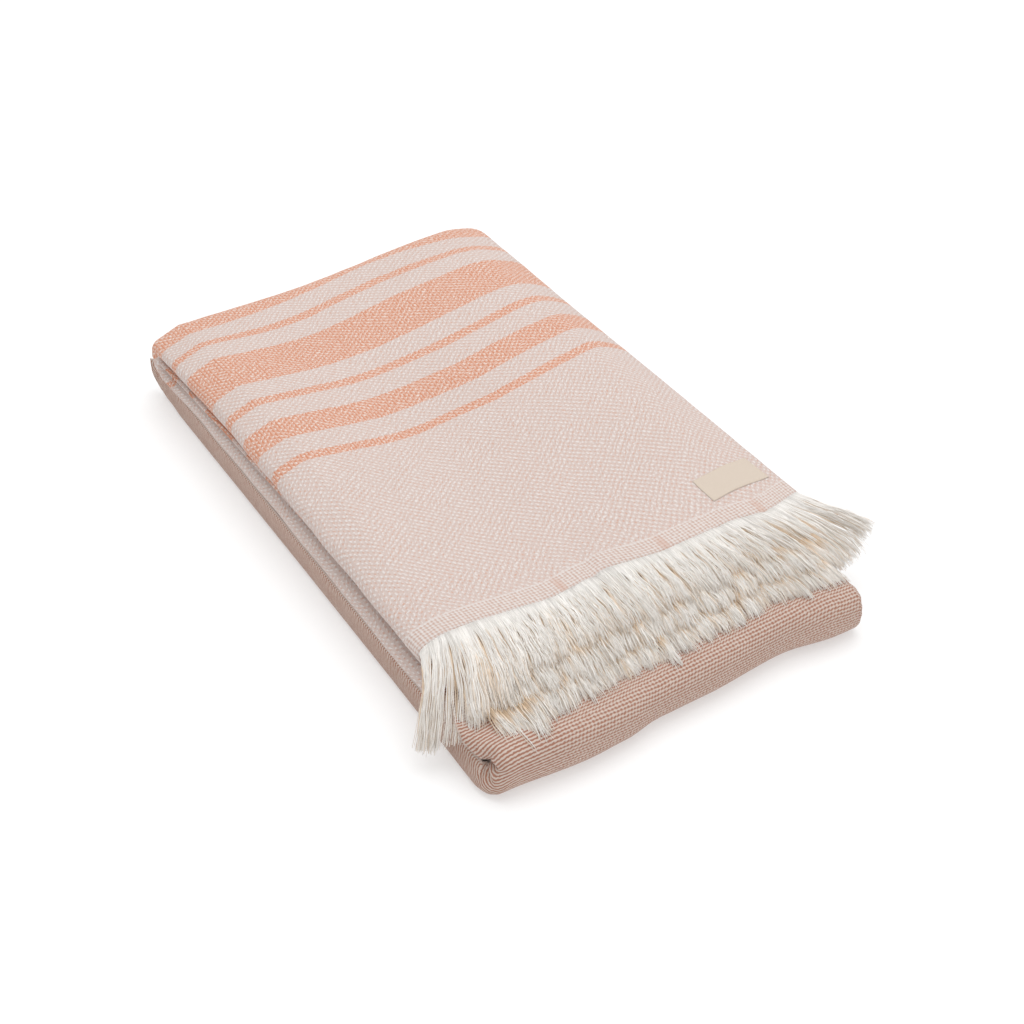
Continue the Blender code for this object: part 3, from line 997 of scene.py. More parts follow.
@dataclass(frozen=True)
class StripProfile:
    """The strip's cross-section: a line that goes right to left, back, and to the left again.

    A span is where a panel's flat part starts and ends across. path_lengths are how far along the
    path each whole place lies.
    """

    sections: tuple[Section, ...] = (
        Section(0.00, 0.003, 0.327, 0.0089, -0.0063, -0.0109, 0.021, -0.020, 0.0005, 0.0, 0.0),
        Section(0.20, 0.002, 0.328, 0.0089, -0.0063, -0.0109, 0.023, -0.020, 0.0030, 0.0, 0.0),
        Section(0.45, 0.001, 0.329, 0.0089, -0.0063, -0.0109, 0.026, -0.020, 0.0070, 0.0, 0.0),
        Section(0.88, -0.001, 0.327, 0.0089, -0.0060, -0.0105, 0.032, -0.020, 0.0080, 0.0, 0.0),
        Section(1.00, -0.003, 0.325, 0.0089, -0.0035, -0.0089, 0.034, -0.020, 0.0060, 0.0, 0.0),
        Section(2.00, -0.001, 0.325, 0.0089, -0.0035, -0.0089, 0.026, -0.020, 0.0040, 0.0, 0.0),
        Section(2.15, 0.001, 0.326, 0.0098, -0.0061, -0.0107, 0.022, -0.020, 0.0030, 0.0, 0.0),
        Section(2.60, 0.001, 0.329, 0.0100, -0.0063, -0.0109, 0.022, -0.020, 0.0030, 0.0, 0.0),
        Section(2.84, 0.002, 0.331, 0.0097, -0.0056, -0.0105, 0.022, -0.020, 0.0030, 0.0, 0.0),
        Section(2.92, 0.002, 0.331, 0.0093, -0.0045, -0.0097, 0.026, -0.016, 0.0030, 0.0, 0.2),
        Section(3.00, 0.006, 0.331, 0.0089, -0.0035, -0.0089, 0.0395, 0.003, 0.0030, 0.002, 0.3),
        Section(3.15, 0.014, 0.331, 0.0089, -0.0030, -0.0089, 0.0370, 0.009, 0.0030, 0.004, 0.6),
        Section(3.40, 0.017, 0.331, 0.0089, -0.0025, -0.0089, 0.0385, 0.010, 0.0030, 0.005, 1.4),
        Section(3.65, 0.018, 0.331, 0.0089, -0.0015, -0.0089, 0.0420, 0.005, 0.0030, 0.007, 2.0),
        Section(3.85, 0.016, 0.331, 0.0089, -0.0010, -0.0089, 0.0490, 0.000, 0.0030, 0.009, 1.6),
        Section(4.00, 0.012, 0.331, 0.0089, -0.0005, -0.0089, 0.0530, -0.001, 0.0030, 0.008, 0.9),
        Section(4.08, 0.009, 0.330, 0.0089, 0.0000, -0.0089, 0.0535, -0.0008, 0.0030, 0.0045, 0.3),
        Section(4.22, 0.008, 0.330, 0.0089, 0.0000, -0.0089, 0.0545, 0.0003, 0.0030, 0.0026, 0.0),
        Section(4.50, 0.008, 0.329, 0.0089, 0.0000, -0.0089, 0.0530, 0.0008, 0.0030, 0.0014, 0.0),
        Section(4.80, 0.007, 0.327, 0.0089, 0.0000, -0.0089, 0.0530, 0.0008, 0.0030, 0.0014, 0.0),
        Section(4.90, 0.007, 0.326, 0.0089, 0.0000, -0.0089, 0.0545, 0.0010, 0.0030, 0.0014, 0.3),
        Section(5.00, 0.008, 0.326, 0.0089, 0.0000, -0.0089, 0.0590, 0.0030, 0.0030, 0.0000, 1.7),
    )
    selvedge_x: float = 0.338
    selvedge_places: tuple[float, ...] = (0.0, 0.2, 0.45, 1.0)
    selvedge_shift: tuple[float, ...] = (0.0080, 0.0065, 0.0035, -0.004)
    upper_span: tuple[float, float] = (0.318, 0.024)
    middle_span: tuple[float, float] = (0.024, 0.295)
    lower_span: tuple[float, float] = (0.315, 0.030)
    selvedge_turn: float = 1.2
    tail_bend: float = 0.006
    swell_span: tuple[float, float] = (0.014, 0.078)
    reach_ripple: float = 0.0008
    left_lengths: tuple[float, ...] = (0.61, 0.27, 0.145)
    right_lengths: tuple[float, ...] = (0.53, 0.31, 0.125)
    lean_rise: tuple[float, float] = (0.005, 0.024)
    ruffle_depth: float = 0.0026
    ruffle_lengths: tuple[float, ...] = (0.026, 0.017)
    path_lengths: tuple[float, ...] = (0.0, 0.45, 0.52, 1.05, 1.12, 1.63)
    steps: dict[str, int] = field(
        default_factory=lambda: {
            "edge": 6, "upper": 56, "fold": 12, "middle": 38, "lower": 38, "tail": 16
        }
    )

    def swelling(self, x: Array) -> Array:
        """1 at the left fold, where the panels spread, and 0 away from it."""
        low, high = self.swell_span
        return 1.0 - smooth((x - low) / (high - low))

    def half_turn(self, reach: Array, upper: Array, lower: Array, side: int) -> tuple[Array, Array]:
        """A half circle between two panels: reach plus radius times the cosine, and the sine.

        Args:
            reach: How far it stands out, for each row.
            upper: Height of the panel above, for each row.
            lower: Height of the panel below, for each row.
            side: -1 for the left fold, 1 for the right one.

        Returns:
            Places across and heights, row by row.
        """
        angle = np.linspace(math.pi / 2, -math.pi / 2, self.steps["fold"] + 1)[1:-1][None, :]
        radius = (upper - lower) / 2
        x = reach - side * radius + side * radius * np.cos(angle)
        return x, (upper + lower) / 2 + radius * np.sin(angle)

    def tail(self, places: Array, height: Array, now: dict[str, Array]) -> tuple[Array, Array]:
        """The lower panel's last stretch: flat, then a quarter circle up, then up, leaning and rippling.

        Args:
            places: Places along the path.
            height: Its height where it starts, for each row.
            now: The sections' numbers, for each row.

        Returns:
            Places across and heights, row by row.
        """
        start_x = self.lower_span[1]
        run = now["tail"] * np.linspace(0.0, 1.0, self.steps["tail"] + 1)[None, 1:]
        flat = start_x - (now["bend"] + self.tail_bend)
        turn = np.clip((run - flat) / self.tail_bend, 0.0, math.pi / 2)
        rise = np.maximum(run - flat - self.tail_bend * math.pi / 2, 0.0)
        x = start_x - np.minimum(run, flat) - self.tail_bend * np.sin(turn)
        climb = self.tail_bend * (1.0 - np.cos(turn)) + rise
        share = smooth((climb - self.lean_rise[0]) / (self.lean_rise[1] - self.lean_rise[0]))
        run_along = np.interp(places, range(len(self.path_lengths)), self.path_lengths)
        ripple = self.ruffle_depth * waves(run_along, self.ruffle_lengths, 13)[:, None] * now["ruffle"]
        x = x + now["lean"] * share + ripple * smooth(climb / self.lean_rise[1])
        return x, height + climb

    def lines(self, places: Array) -> tuple[Array, Array, Array]:
        """The whole line at each place: edge, upper, left fold, middle, right fold, lower, tail.

        Args:
            places: Places along the path.

        Returns:
            Places across and heights, row by row, and each column's panel, from 0 to 2.
        """
        table = column(self.sections, "place")
        now = {
            name: np.interp(places, table, column(self.sections, name))[:, None]
            for name in Section._fields[1:]
        }
        for name, lengths, seed in (("left", self.left_lengths, 11), ("right", self.right_lengths, 12)):
            now[name] = now[name] + self.reach_ripple * waves(places, lengths, seed)[:, None]
        pitch = STACK.pitch
        count = self.steps
        turn = np.linspace(1.0, 0.0, count["edge"] + 1)[None, :-1]
        overhang = self.selvedge_x - self.upper_span[0]
        shift = np.interp(places, self.selvedge_places, self.selvedge_shift)[:, None]
        edge_x = self.upper_span[0] + (overhang + shift) * np.sin(turn * self.selvedge_turn)
        edge_h = pitch - now["droop"] * turn**2
        upper_x = np.linspace(*self.upper_span, count["upper"])[None, :]
        upper_h = pitch + (now["upper_h"] - pitch) * self.swelling(upper_x)
        left_x, left_h = self.half_turn(now["left"], now["upper_h"], now["middle_h"], -1)
        middle_x = np.linspace(*self.middle_span, count["middle"])[None, :]
        middle_h = now["middle_h"] * self.swelling(middle_x)
        level = 0.0 * now["right"]
        right_x, right_h = self.half_turn(now["right"], level, level - pitch, 1)
        lower_x = np.linspace(*self.lower_span, count["lower"])[None, :]
        lower_h = -pitch + (now["lower_h"] + pitch) * self.swelling(lower_x)
        tail_x, tail_h = self.tail(places, lower_h[:, -1:], now)
        full = np.ones((len(places), 1))
        x = np.hstack([edge_x, upper_x * full, left_x, middle_x * full, right_x, lower_x * full, tail_x])
        h = np.hstack([edge_h, upper_h, left_h, middle_h, right_h, lower_h, tail_h])
        passing = np.clip(np.linspace(-1.0, 1.0, count["fold"] + 1)[1:-1], 0.0, 1.0)
        panel = np.concatenate(
            [
                np.zeros(count["edge"] + count["upper"]),
                passing,
                np.ones(count["middle"]),
                1.0 + passing,
                np.full(count["lower"] + count["tail"], 2.0),
            ]
        )
        return x, h, panel

    def level(self, place: float, panel: Panel, at_x: Array) -> Array:
        """Height of one panel above the strip's middle.

        Args:
            place: Where along the path.
            panel: Which panel.
            at_x: Places across.

        Returns:
            A height for each.
        """
        x, h, panels = self.lines(np.array([place]))
        here = panels == panel.value
        order = np.argsort(x[0, here])
        return np.interp(at_x, x[0, here][order], h[0, here][order])


@dataclass(frozen=True)
class WeftDrift:
    """The weft isn't quite square to the edges: the stripes wander by some millimetres.

    Each row of the table is a place across, then how far the weft runs ahead there at each of the
    places along.
    """

    along: tuple[float, ...] = (0.320, 0.370, 0.410, 0.440, 0.490, 0.515, 0.550)
    table: tuple[tuple[float, ...], ...] = (
        (0.000, -0.004, -0.003, -0.001, -0.001, 0.004, 0.007, 0.014),
        (0.020, -0.003, -0.002, 0.000, -0.001, 0.004, 0.007, 0.014),
        (0.050, 0.000, 0.000, 0.002, 0.003, 0.008, 0.009, 0.016),
        (0.080, 0.000, 0.000, 0.000, 0.001, 0.008, 0.010, 0.014),
        (0.120, 0.000, 0.000, 0.000, -0.001, 0.005, 0.006, 0.009),
        (0.160, 0.000, 0.001, 0.001, 0.000, 0.001, 0.000, 0.004),
        (0.200, 0.004, 0.004, 0.003, 0.001, 0.000, -0.001, 0.000),
        (0.240, 0.003, 0.002, 0.003, 0.001, 0.003, 0.002, 0.002),
        (0.280, 0.000, 0.000, 0.000, -0.001, 0.004, 0.006, 0.008),
        (0.310, -0.005, -0.003, 0.000, 0.003, 0.012, 0.014, 0.016),
    )

    def ahead(self, x: Array, y: Array) -> Array:
        """The table's number at x and y, straight lines between its entries.

        Args:
            x: Places across.
            y: Places along.

        Returns:
            How far the weft runs ahead at each.
        """
        index, share = between(np.array([row[0] for row in self.table]), x)
        lines = np.stack([np.interp(y, self.along, row[1:]) for row in self.table])
        return blended(lines, index, np.clip(share, 0.0, 1.0))


LAST_PLACE = 4.999999


@dataclass
class FoldedCloth:
    """The towel's one sheet of cloth, thin and closed, with its two faces.

    edge_round is how far from its rim it thins, down to edge_least of its thickness. rows gives how
    many rows of points each stretch of the path has.
    """

    profile: StripProfile = field(default_factory=StripProfile)
    thickness: float = 0.0026
    edge_round: float = 0.0014
    edge_least: float = 0.45
    flat: tuple[float, float] = (1.00, 1.60)
    corner_reach: float = 0.043
    rows: tuple[tuple[float, int], ...] = (
        (0.0, 84), (1.0, 30), (2.0, 18), (2.2, 14), (2.8, 16), (3.0, 38), (4.0, 26), (4.8, 24), (5.0, 0)
    )

    def places(self) -> Array:
        """Places along the path, with each stretch's own number of rows.

        Returns:
            Rising places from 0 to 5.
        """
        pairs = zip(self.rows[:-1], self.rows[1:])
        stretches = [np.linspace(low, high, count, endpoint=False) for (low, count), (high, _) in pairs]
        return np.append(np.concatenate(stretches), self.rows[-1][0])

    def round_fold(
        self, centre: tuple[float, float], radius: Array, angle: Array, squareness: float
    ) -> tuple[Array, Array]:
        """A squarish turn: the radius over the n-th root of |cos|^n plus |sin|^n.

        Args:
            centre: Its centre, along and up.
            radius: Of each point.
            angle: Of each row.
            squareness: The power n.

        Returns:
            Places along and heights.
        """
        across, up = np.cos(angle), np.sin(angle)
        reach = (np.abs(across) ** squareness + np.abs(up) ** squareness) ** (-1.0 / squareness)
        return centre[0] + radius * reach * across, centre[1] + radius * reach * up

    def middle_surface(self, places: Array) -> Array:
        """The sheet's middle: the profile carried along three strips and two folds, then settled.

        The lower panel's tail is drawn out backwards, to the far corner that shows at the left.

        Args:
            places: Places along the path.

        Returns:
            Points, as rows by columns by three.
        """
        x, h, panel = self.profile.lines(places)
        near = np.interp(panel, range(3), STACK.near_ends)[None, :]
        tail = self.profile.steps["tail"]
        drawn_out = np.zeros(len(panel))
        drawn_out[-tail:] = smooth(np.linspace(0.0, 1.6, tail))
        far = (np.interp(panel, range(3), STACK.far_ends) + self.corner_reach * drawn_out)[None, :]
        place = places[:, None]
        stretch = np.minimum(place, LAST_PLACE)
        share = place - np.floor(stretch)
        turn = math.pi * share
        back, front = STACK.back_centre, STACK.front_centre
        at_back = (back, (STACK.top + STACK.middle) / 2)
        at_front = (front, (STACK.middle + STACK.bottom) / 2)
        back_y, back_z = self.round_fold(
            at_back, STACK.fold_radius + h, math.pi / 2 - turn, STACK.back_squareness
        )
        front_y, front_z = self.round_fold(
            at_front, STACK.fold_radius - h, math.pi / 2 + turn, STACK.front_squareness
        )
        pull = STACK.pull(x, panel[None, :]) * (1.0 - smooth(share / STACK.hem_pull_share))
        top_y = near + (back - near) * share - pull
        middle_y = back + (front - back) * share + 0.0 * x
        bottom_y = front + (far - front) * share
        choices = [np.broadcast_to(stretch < limit, x.shape) for limit in (1.0, 2.0, 3.0, 4.0)]
        y = np.select(choices, [top_y, back_y, middle_y, front_y], bottom_y)
        z = np.select(choices, [STACK.top + h, back_z, STACK.middle - h, front_z], STACK.bottom + h)
        return SETTLING.settle(np.stack([x, y, z], axis=-1))

    def build(self, light: bpy.types.Material, rose: bpy.types.Material) -> bpy.types.Object:
        """Builds both faces at half the thickness along the normal, and closes the rim.

        Args:
            light: Material of the face that shows on top.
            rose: Material of the reverse.

        Returns:
            The cloth.
        """
        places = self.places()
        middle = self.middle_surface(places)
        rows, columns = middle.shape[:2]
        run = np.cumsum(np.linalg.norm(np.diff(middle, axis=0), axis=2), axis=0)
        along = np.vstack([np.zeros((1, columns)), run])
        run = np.cumsum(np.linalg.norm(np.diff(middle, axis=1), axis=2), axis=1)
        across = np.hstack([np.zeros((rows, 1)), run])
        wander = WeftDrift().ahead(middle[..., 0], middle[..., 1])
        wander = wander * (1.0 - smooth(places - 1.0)[:, None])
        pull = STACK.pull(middle[:1, :, 0], self.profile.lines(np.zeros(1))[2])
        wander = wander - pull * smooth(places / STACK.hem_pull_share)[:, None]
        to_selvedge = np.minimum(across, across[:, -1:] - across)
        to_end = np.minimum(along, along[-1:] - along)
        normal = np.cross(np.gradient(middle, axis=1), np.gradient(middle, axis=0))
        normal = -normal / np.linalg.norm(normal, axis=2, keepdims=True)
        edge = np.clip(np.minimum(to_selvedge, to_end) / self.edge_round, 0.0, 1.0)
        edge = self.edge_least + (1.0 - self.edge_least) * np.sqrt(1.0 - (1.0 - edge) ** 2)
        half = (self.thickness / 2 * edge)[..., None]
        points = np.concatenate([middle + normal * half, middle - normal * half]).reshape(-1, 3)
        outer, inner, rim = sheet_faces(rows, columns)
        slots = np.concatenate([np.zeros(len(outer)), np.ones(len(inner)), np.zeros(len(rim))])
        maps = {
            WEAVE_MAP: np.stack([across, along + wander], axis=-1).reshape(-1, 2),
            MARGIN_MAP: np.stack([to_selvedge, to_end], axis=-1).reshape(-1, 2),
        }
        maps = {name: np.concatenate([pairs, pairs]) for name, pairs in maps.items()}
        faces = np.concatenate([outer, inner, rim])
        piece = new_piece("woven_cloth", points, faces, [light, rose], slots, maps)
        area = across[:, -1].mean() * along[-1].mean()
        LOG.info("cloth: %d rows of %d points, %.3f m2", rows, columns, area)
        return piece


# The fringes


class Tip(NamedTuple):
    """Where a lock's tip lies: how far aside and how far out, and its height in the stack."""

    x: float
    sideways: float
    reach: float
    height: float


@dataclass
class FringeRow:
    """One row of loose yarns, gathered into locks, hanging from one panel's cut end.

    side is -1 for the near end and 1 for the far one, and roots lie from start to stop across. The
    sways are ripples along the row, aside, in reach and in height; the spreads are a lock's chance
    offsets in the same three, and the splays a yarn's, towards its tip. Leaving and arriving are
    the curve's two handles, as shares of the way from root to tip.
    """

    name: str
    node: str
    panel: Panel
    side: int
    start: float
    stop: float
    tips: tuple[Tip, ...]
    yarns: int
    locks: int
    rings: int
    seed: int
    # Painted shade for a row that lies under another, fading towards its tips.
    shade: float = 0.0
    corners: int = 3
    root_radius: float = 0.00031
    tip_radius: float = 0.00024
    flatness: float = 0.80
    tuck: float = 0.0017
    root_rise: float = 0.0011
    leaving: Triple = (0.15, 0.38, 0.02)
    arriving: Triple = (0.65, 0.80, 0.35)
    thick: float = 0.0016
    gather: float = 0.20
    arch: float = 0.0016
    rounding: float = 0.0006
    curl: float = 0.0026
    sways: Triple = (0.0040, 0.08, 0.0016)
    sway_lengths: tuple[Triple, Triple, Triple] = (
        (0.071, 0.043, 0.027),
        (0.061, 0.029, 0.017),
        (0.053, 0.027, 0.015),
    )
    arch_lengths: tuple[float, float] = (0.037, 0.019)
    spreads: Triple = (0.0016, 0.0026, 0.0010)
    arch_spread: float = 0.0007
    splays: Triple = (0.0019, 0.0024, 0.0009)
    crimps: Triple = (0.00042, 0.00050, 0.00028)

    def roots(self, root_x: Array) -> Array:
        """Root points just inside the cloth's cut end.

        Args:
            root_x: Places across.

        Returns:
            A point for each.
        """
        near = self.side < 0
        strip = STACK.top if near else STACK.bottom
        level = StripProfile().level(0.0 if near else 5.0, self.panel, root_x)
        y = self.cut_end() - self.side * self.tuck + 0.0 * root_x
        if near:
            y = y - STACK.pull(root_x, np.full_like(root_x, self.panel.value))
        return np.stack([root_x, y, strip + level + self.root_rise], axis=-1)

    def cut_end(self) -> float:
        """Where the panel's cut end lies along the stack."""
        return (STACK.near_ends if self.side < 0 else STACK.far_ends)[self.panel.value]

    def lean(self, x: Array, lengths: tuple[float, ...], kind: int) -> Array:
        """An uneven ripple along the row, so that neighbouring yarns lie alike."""
        return waves(x, lengths, self.seed * 10 + kind)

    def curve(self, root_x: Array, per_lock: Callable[[float], Array]) -> list[Array]:
        """The cubic curve of each yarn, with its tip read from the table, swayed and shifted.

        Args:
            root_x: Places across.
            per_lock: Gives chance offsets with that spread, shared within a lock.

        Returns:
            The roots, the two handles and the tips.
        """
        table = column(self.tips, "x")
        moved = {}
        for kind, name in enumerate(Tip._fields[1:]):
            base = np.interp(root_x, table, column(self.tips, name))
            sway = self.sways[kind] * self.lean(root_x, self.sway_lengths[kind], kind + 1)
            sway = base * sway if name == "reach" else sway
            moved[name] = base + sway + per_lock(self.spreads[kind])
        tip_y = self.cut_end() + self.side * moved["reach"]
        tip = np.stack([root_x + moved["sideways"], tip_y, moved["height"]], axis=-1)
        root = self.roots(root_x)
        away = tip - root
        lift = self.arch * (1.0 + self.lean(root_x, self.arch_lengths, 4))
        lift = (lift + np.abs(per_lock(self.arch_spread)))[:, None] * UP
        return [root, root + away * self.leaving + lift * 0.5, root + away * self.arriving + lift, tip]

    def lines(self) -> tuple[Array, dict[str, Array]]:
        """Middle lines of the yarns.

        Towards its waist a yarn leaves its curve by a share of the way to its lock's middle, and
        at the tip it splays again. The locks are round on top: a yarn sinks with the square of its
        way from the lock's middle.

        Returns:
            Points as yarns by rings by three, and numbers for each yarn: its chance, its painted
            shade, from its depth and its place in its lock, and its lock's chance.
        """
        chance = np.random.default_rng(self.seed)
        count = self.yarns
        step = (self.stop - self.start) / count
        root_x = self.start + (np.arange(count) + chance.uniform(0.0, 1.0, count)) * step
        widths = chance.uniform(0.5, 1.5, self.locks)
        edges = self.start + (self.stop - self.start) * np.append(0.0, np.cumsum(widths) / widths.sum())
        lock = np.clip(np.searchsorted(edges, root_x) - 1, 0, self.locks - 1)
        half = (edges[lock + 1] - edges[lock]) / 2
        aside = root_x - (edges[lock + 1] + edges[lock]) / 2
        depth = chance.uniform(0.0, 1.0, count)
        loose = 1.0 - smooth((depth - 0.35) / 0.35)

        def per_lock(spread: float) -> Array:
            """Chance offsets that the upper yarns of a lock share."""
            return chance.normal(0.0, spread, self.locks)[lock] * loose

        curve = self.curve(root_x, per_lock)
        q = np.linspace(0.0, 1.0, self.rings)
        weights = ((1 - q) ** 3, 3 * q * (1 - q) ** 2, 3 * q**2 * (1 - q), q**3)
        centre = sum(point[:, None] * weight[None, :, None] for point, weight in zip(curve, weights))
        q = q[None, :]
        waist = smooth((q - 0.08) / 0.42) * (1.0 - 0.55 * smooth((q - 0.62) / 0.38))
        free = smooth((q - 0.25) / 0.75)
        share = chance.uniform(0.4, 1.4, count) * loose
        gathered = -(aside * share)[:, None] * self.gather * waist
        sunk = -((aside / half) ** 2)[:, None] * self.rounding * smooth(q / 0.4)
        layer = ((0.5 - depth) * self.thick)[:, None] * (0.55 + 0.6 * smooth(q / 0.5))
        turns = chance.uniform(1.6, 3.4, (count, 1))
        own = np.sin(2.0 * math.pi * (turns * q + chance.uniform(0.0, 1.0, (count, 1))))
        shared = np.sin(2.0 * math.pi * (2.3 * q + chance.uniform(0.0, 1.0, self.locks)[lock][:, None]))
        bend = np.sin(2.0 * math.pi * (turns * 0.8 * q + chance.uniform(0.0, 1.0, (count, 1))))
        crimp = (self.crimps[0] * own + self.crimps[1] * shared) * smooth(q / 0.3)
        curled = self.curl * chance.uniform(0.0, 2.0, (count, 1)) * smooth((q - 0.84) / 0.16)
        splay = [chance.normal(0.0, spread, (count, 1)) * free for spread in self.splays]
        bend = self.crimps[2] * bend * smooth(q / 0.3)
        lifted = sunk + layer + bend + splay[2] - curled
        offset = np.stack([gathered + crimp + splay[0], self.side * splay[1] * q, lifted], axis=-1)
        # Painted shade: more for yarns deep in the row and towards their lock's sides.
        shade = 0.95 * depth + 0.25 * (aside / half) ** 2
        tones = {"chance": chance.uniform(0.0, 1.0, count), "shade": shade}
        tones["lock"] = chance.uniform(0.0, 1.0, self.locks)[lock]
        return centre + offset, tones

    def build(self, material: bpy.types.Material) -> bpy.types.Object:
        """Builds the yarns as fine tubes round their middle lines.

        Args:
            material: The yarn's finish.

        Returns:
            The row.
        """
        lines, tones = self.lines()
        lines = SETTLING.settle(lines)
        lines[..., 2] = np.maximum(lines[..., 2], self.root_radius)
        heading = np.gradient(lines, axis=1)
        heading /= np.linalg.norm(heading, axis=2, keepdims=True)
        aside = np.cross(heading, UP)
        aside /= np.linalg.norm(aside, axis=2, keepdims=True)
        upward = np.cross(aside, heading)
        radius = np.linspace(self.root_radius, self.tip_radius, self.rings)[None, :, None, None]
        turn = tones["chance"][:, None, None, None] * 2.0 * math.pi
        angle = ring_angles(self.corners)[None, None, :, None] + turn
        ring = aside[:, :, None] * np.cos(angle) + upward[:, :, None] * np.sin(angle) * self.flatness
        points = (lines[:, :, None, :] + ring * radius).reshape(-1, 3)
        shape = (len(lines), self.rings, self.corners)

        def spread(values: Array) -> Array:
            """One number a yarn, repeated for all its points."""
            return np.broadcast_to(values[:, None, None], shape)

        along = np.broadcast_to(np.linspace(0.0, 1.0, self.rings)[None, :, None], shape)
        # Painted shade, kept in the Margins map: none at the root, less towards the tip, plus the row's
        # own.
        shade = spread(tones["shade"]) * smooth(along / 0.25)
        shade = shade * (1.0 - 0.30 * smooth((along - 0.4) / 0.5))
        shade = shade + self.shade * (1.0 - smooth((along - 0.28) / 0.52))
        maps = {
            WEAVE_MAP: np.stack([spread(tones["chance"]), along], axis=-1).reshape(-1, 2),
            MARGIN_MAP: np.stack([shade, spread(tones["lock"])], axis=-1).reshape(-1, 2),
        }
        faces = tube_faces(*shape)
        piece = new_piece(self.name, points, faces, [material], None, maps)
        LOG.info("%s: %d yarns in %d locks", self.name, self.yarns, self.locks)
        return piece


NEAR_TIPS_UPPER = (
    Tip(0.004, -0.032, 0.046, 0.0290),
    Tip(0.010, -0.030, 0.047, 0.0230),
    Tip(0.018, -0.030, 0.051, 0.0235),
    Tip(0.024, -0.027, 0.058, 0.0350),
    Tip(0.032, -0.022, 0.066, 0.0470),
    Tip(0.042, -0.015, 0.066, 0.0560),
    Tip(0.056, -0.010, 0.060, 0.0630),
    Tip(0.090, -0.004, 0.050, 0.0655),
    Tip(0.190, 0.002, 0.052, 0.0655),
    Tip(0.255, 0.009, 0.050, 0.0655),
    Tip(0.275, 0.018, 0.051, 0.0610),
    Tip(0.290, 0.030, 0.052, 0.0540),
    Tip(0.300, 0.040, 0.053, 0.0440),
    Tip(0.308, 0.043, 0.054, 0.0340),
    Tip(0.316, 0.045, 0.055, 0.0360),
    Tip(0.325, 0.043, 0.055, 0.0470),
    Tip(0.334, 0.038, 0.053, 0.0590),
    Tip(0.343, 0.029, 0.050, 0.0670),
)
NEAR_TIPS_MIDDLE = (
    Tip(0.014, -0.004, 0.050, 0.0540),
    Tip(0.080, -0.003, 0.050, 0.0565),
    Tip(0.250, 0.003, 0.050, 0.0565),
    Tip(0.290, 0.014, 0.052, 0.0550),
    Tip(0.320, 0.026, 0.052, 0.0480),
)
NEAR_TIPS_LOWER = (
    Tip(0.010, 0.002, 0.050, 0.0490),
    Tip(0.028, 0.006, 0.062, 0.0430),
    Tip(0.042, 0.003, 0.058, 0.0465),
    Tip(0.060, 0.000, 0.052, 0.0490),
    Tip(0.110, 0.000, 0.046, 0.0490),
    Tip(0.160, 0.001, 0.050, 0.0490),
    Tip(0.250, 0.004, 0.051, 0.0490),
    Tip(0.320, 0.016, 0.050, 0.0490),
)


def far_tips(aside: float, height: float) -> tuple[Tip, ...]:
    """Tips of a far row: fanned aside at the left, then straight back, all at one height."""
    places = ((0.0, aside, 0.052), (0.100, 0.004, 0.056), (0.333, 0.0, 0.056))
    return tuple(Tip(*place, height) for place in places)


class RowPlan(NamedTuple):
    """What sets one row apart: its roots' start and stop, its tips, its seed and its painted shade."""

    start: float
    stop: float
    tips: tuple[Tip, ...]
    seed: int
    shade: float


@dataclass
class Fringes:
    """Three rows at each end, from the upper panel down, with yarns, locks and rings for each."""

    near: tuple[int, int, int] = (2900, 60, 11)
    far: tuple[int, int, int] = (900, 60, 9)
    # The middle and lower rows get painted shade where the upper row lies over them.
    near_plans: tuple[RowPlan, ...] = (
        RowPlan(0.0034, 0.3430, NEAR_TIPS_UPPER, 21, 0.0),
        RowPlan(0.0140, 0.3220, NEAR_TIPS_MIDDLE, 22, 1.25),
        RowPlan(0.0180, 0.3150, NEAR_TIPS_LOWER, 23, 1.6),
    )
    far_plans: tuple[RowPlan, ...] = (
        RowPlan(0.0180, 0.3200, far_tips(0.020, 0.0140), 24, 0.0),
        RowPlan(0.0250, 0.3180, far_tips(0.018, 0.0068), 25, 0.0),
        RowPlan(0.0160, 0.3140, far_tips(0.016, 0.0020), 26, 0.0),
    )

    def rows(self) -> list[FringeRow]:
        """The six rows, each named for its end and its panel.

        Returns:
            The rows, the near ones first.
        """
        made = []
        ends = (("near", -1, self.near, self.near_plans), ("far", 1, self.far, self.far_plans))
        for end, side, counts, plans in ends:
            for panel, (start, stop, tips, seed, shade) in zip(Panel, plans):
                tier = panel.name.lower()
                names = (f"{end}_yarns_{tier}", f"{end}_fringe_{tier}")
                made.append(FringeRow(*names, panel, side, start, stop, tips, *counts, seed, shade))
        return made

    def build(self, material: bpy.types.Material) -> list[bpy.types.Object]:
        """Builds each row in place of its node.

        Args:
            material: The yarn's finish.

        Returns:
            The rows.
        """
        pieces = []
        for row in self.rows():
            piece = row.build(material)
            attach(piece, ROOT)
            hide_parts(row.node)
            pieces.append(piece)
        return pieces


# The label


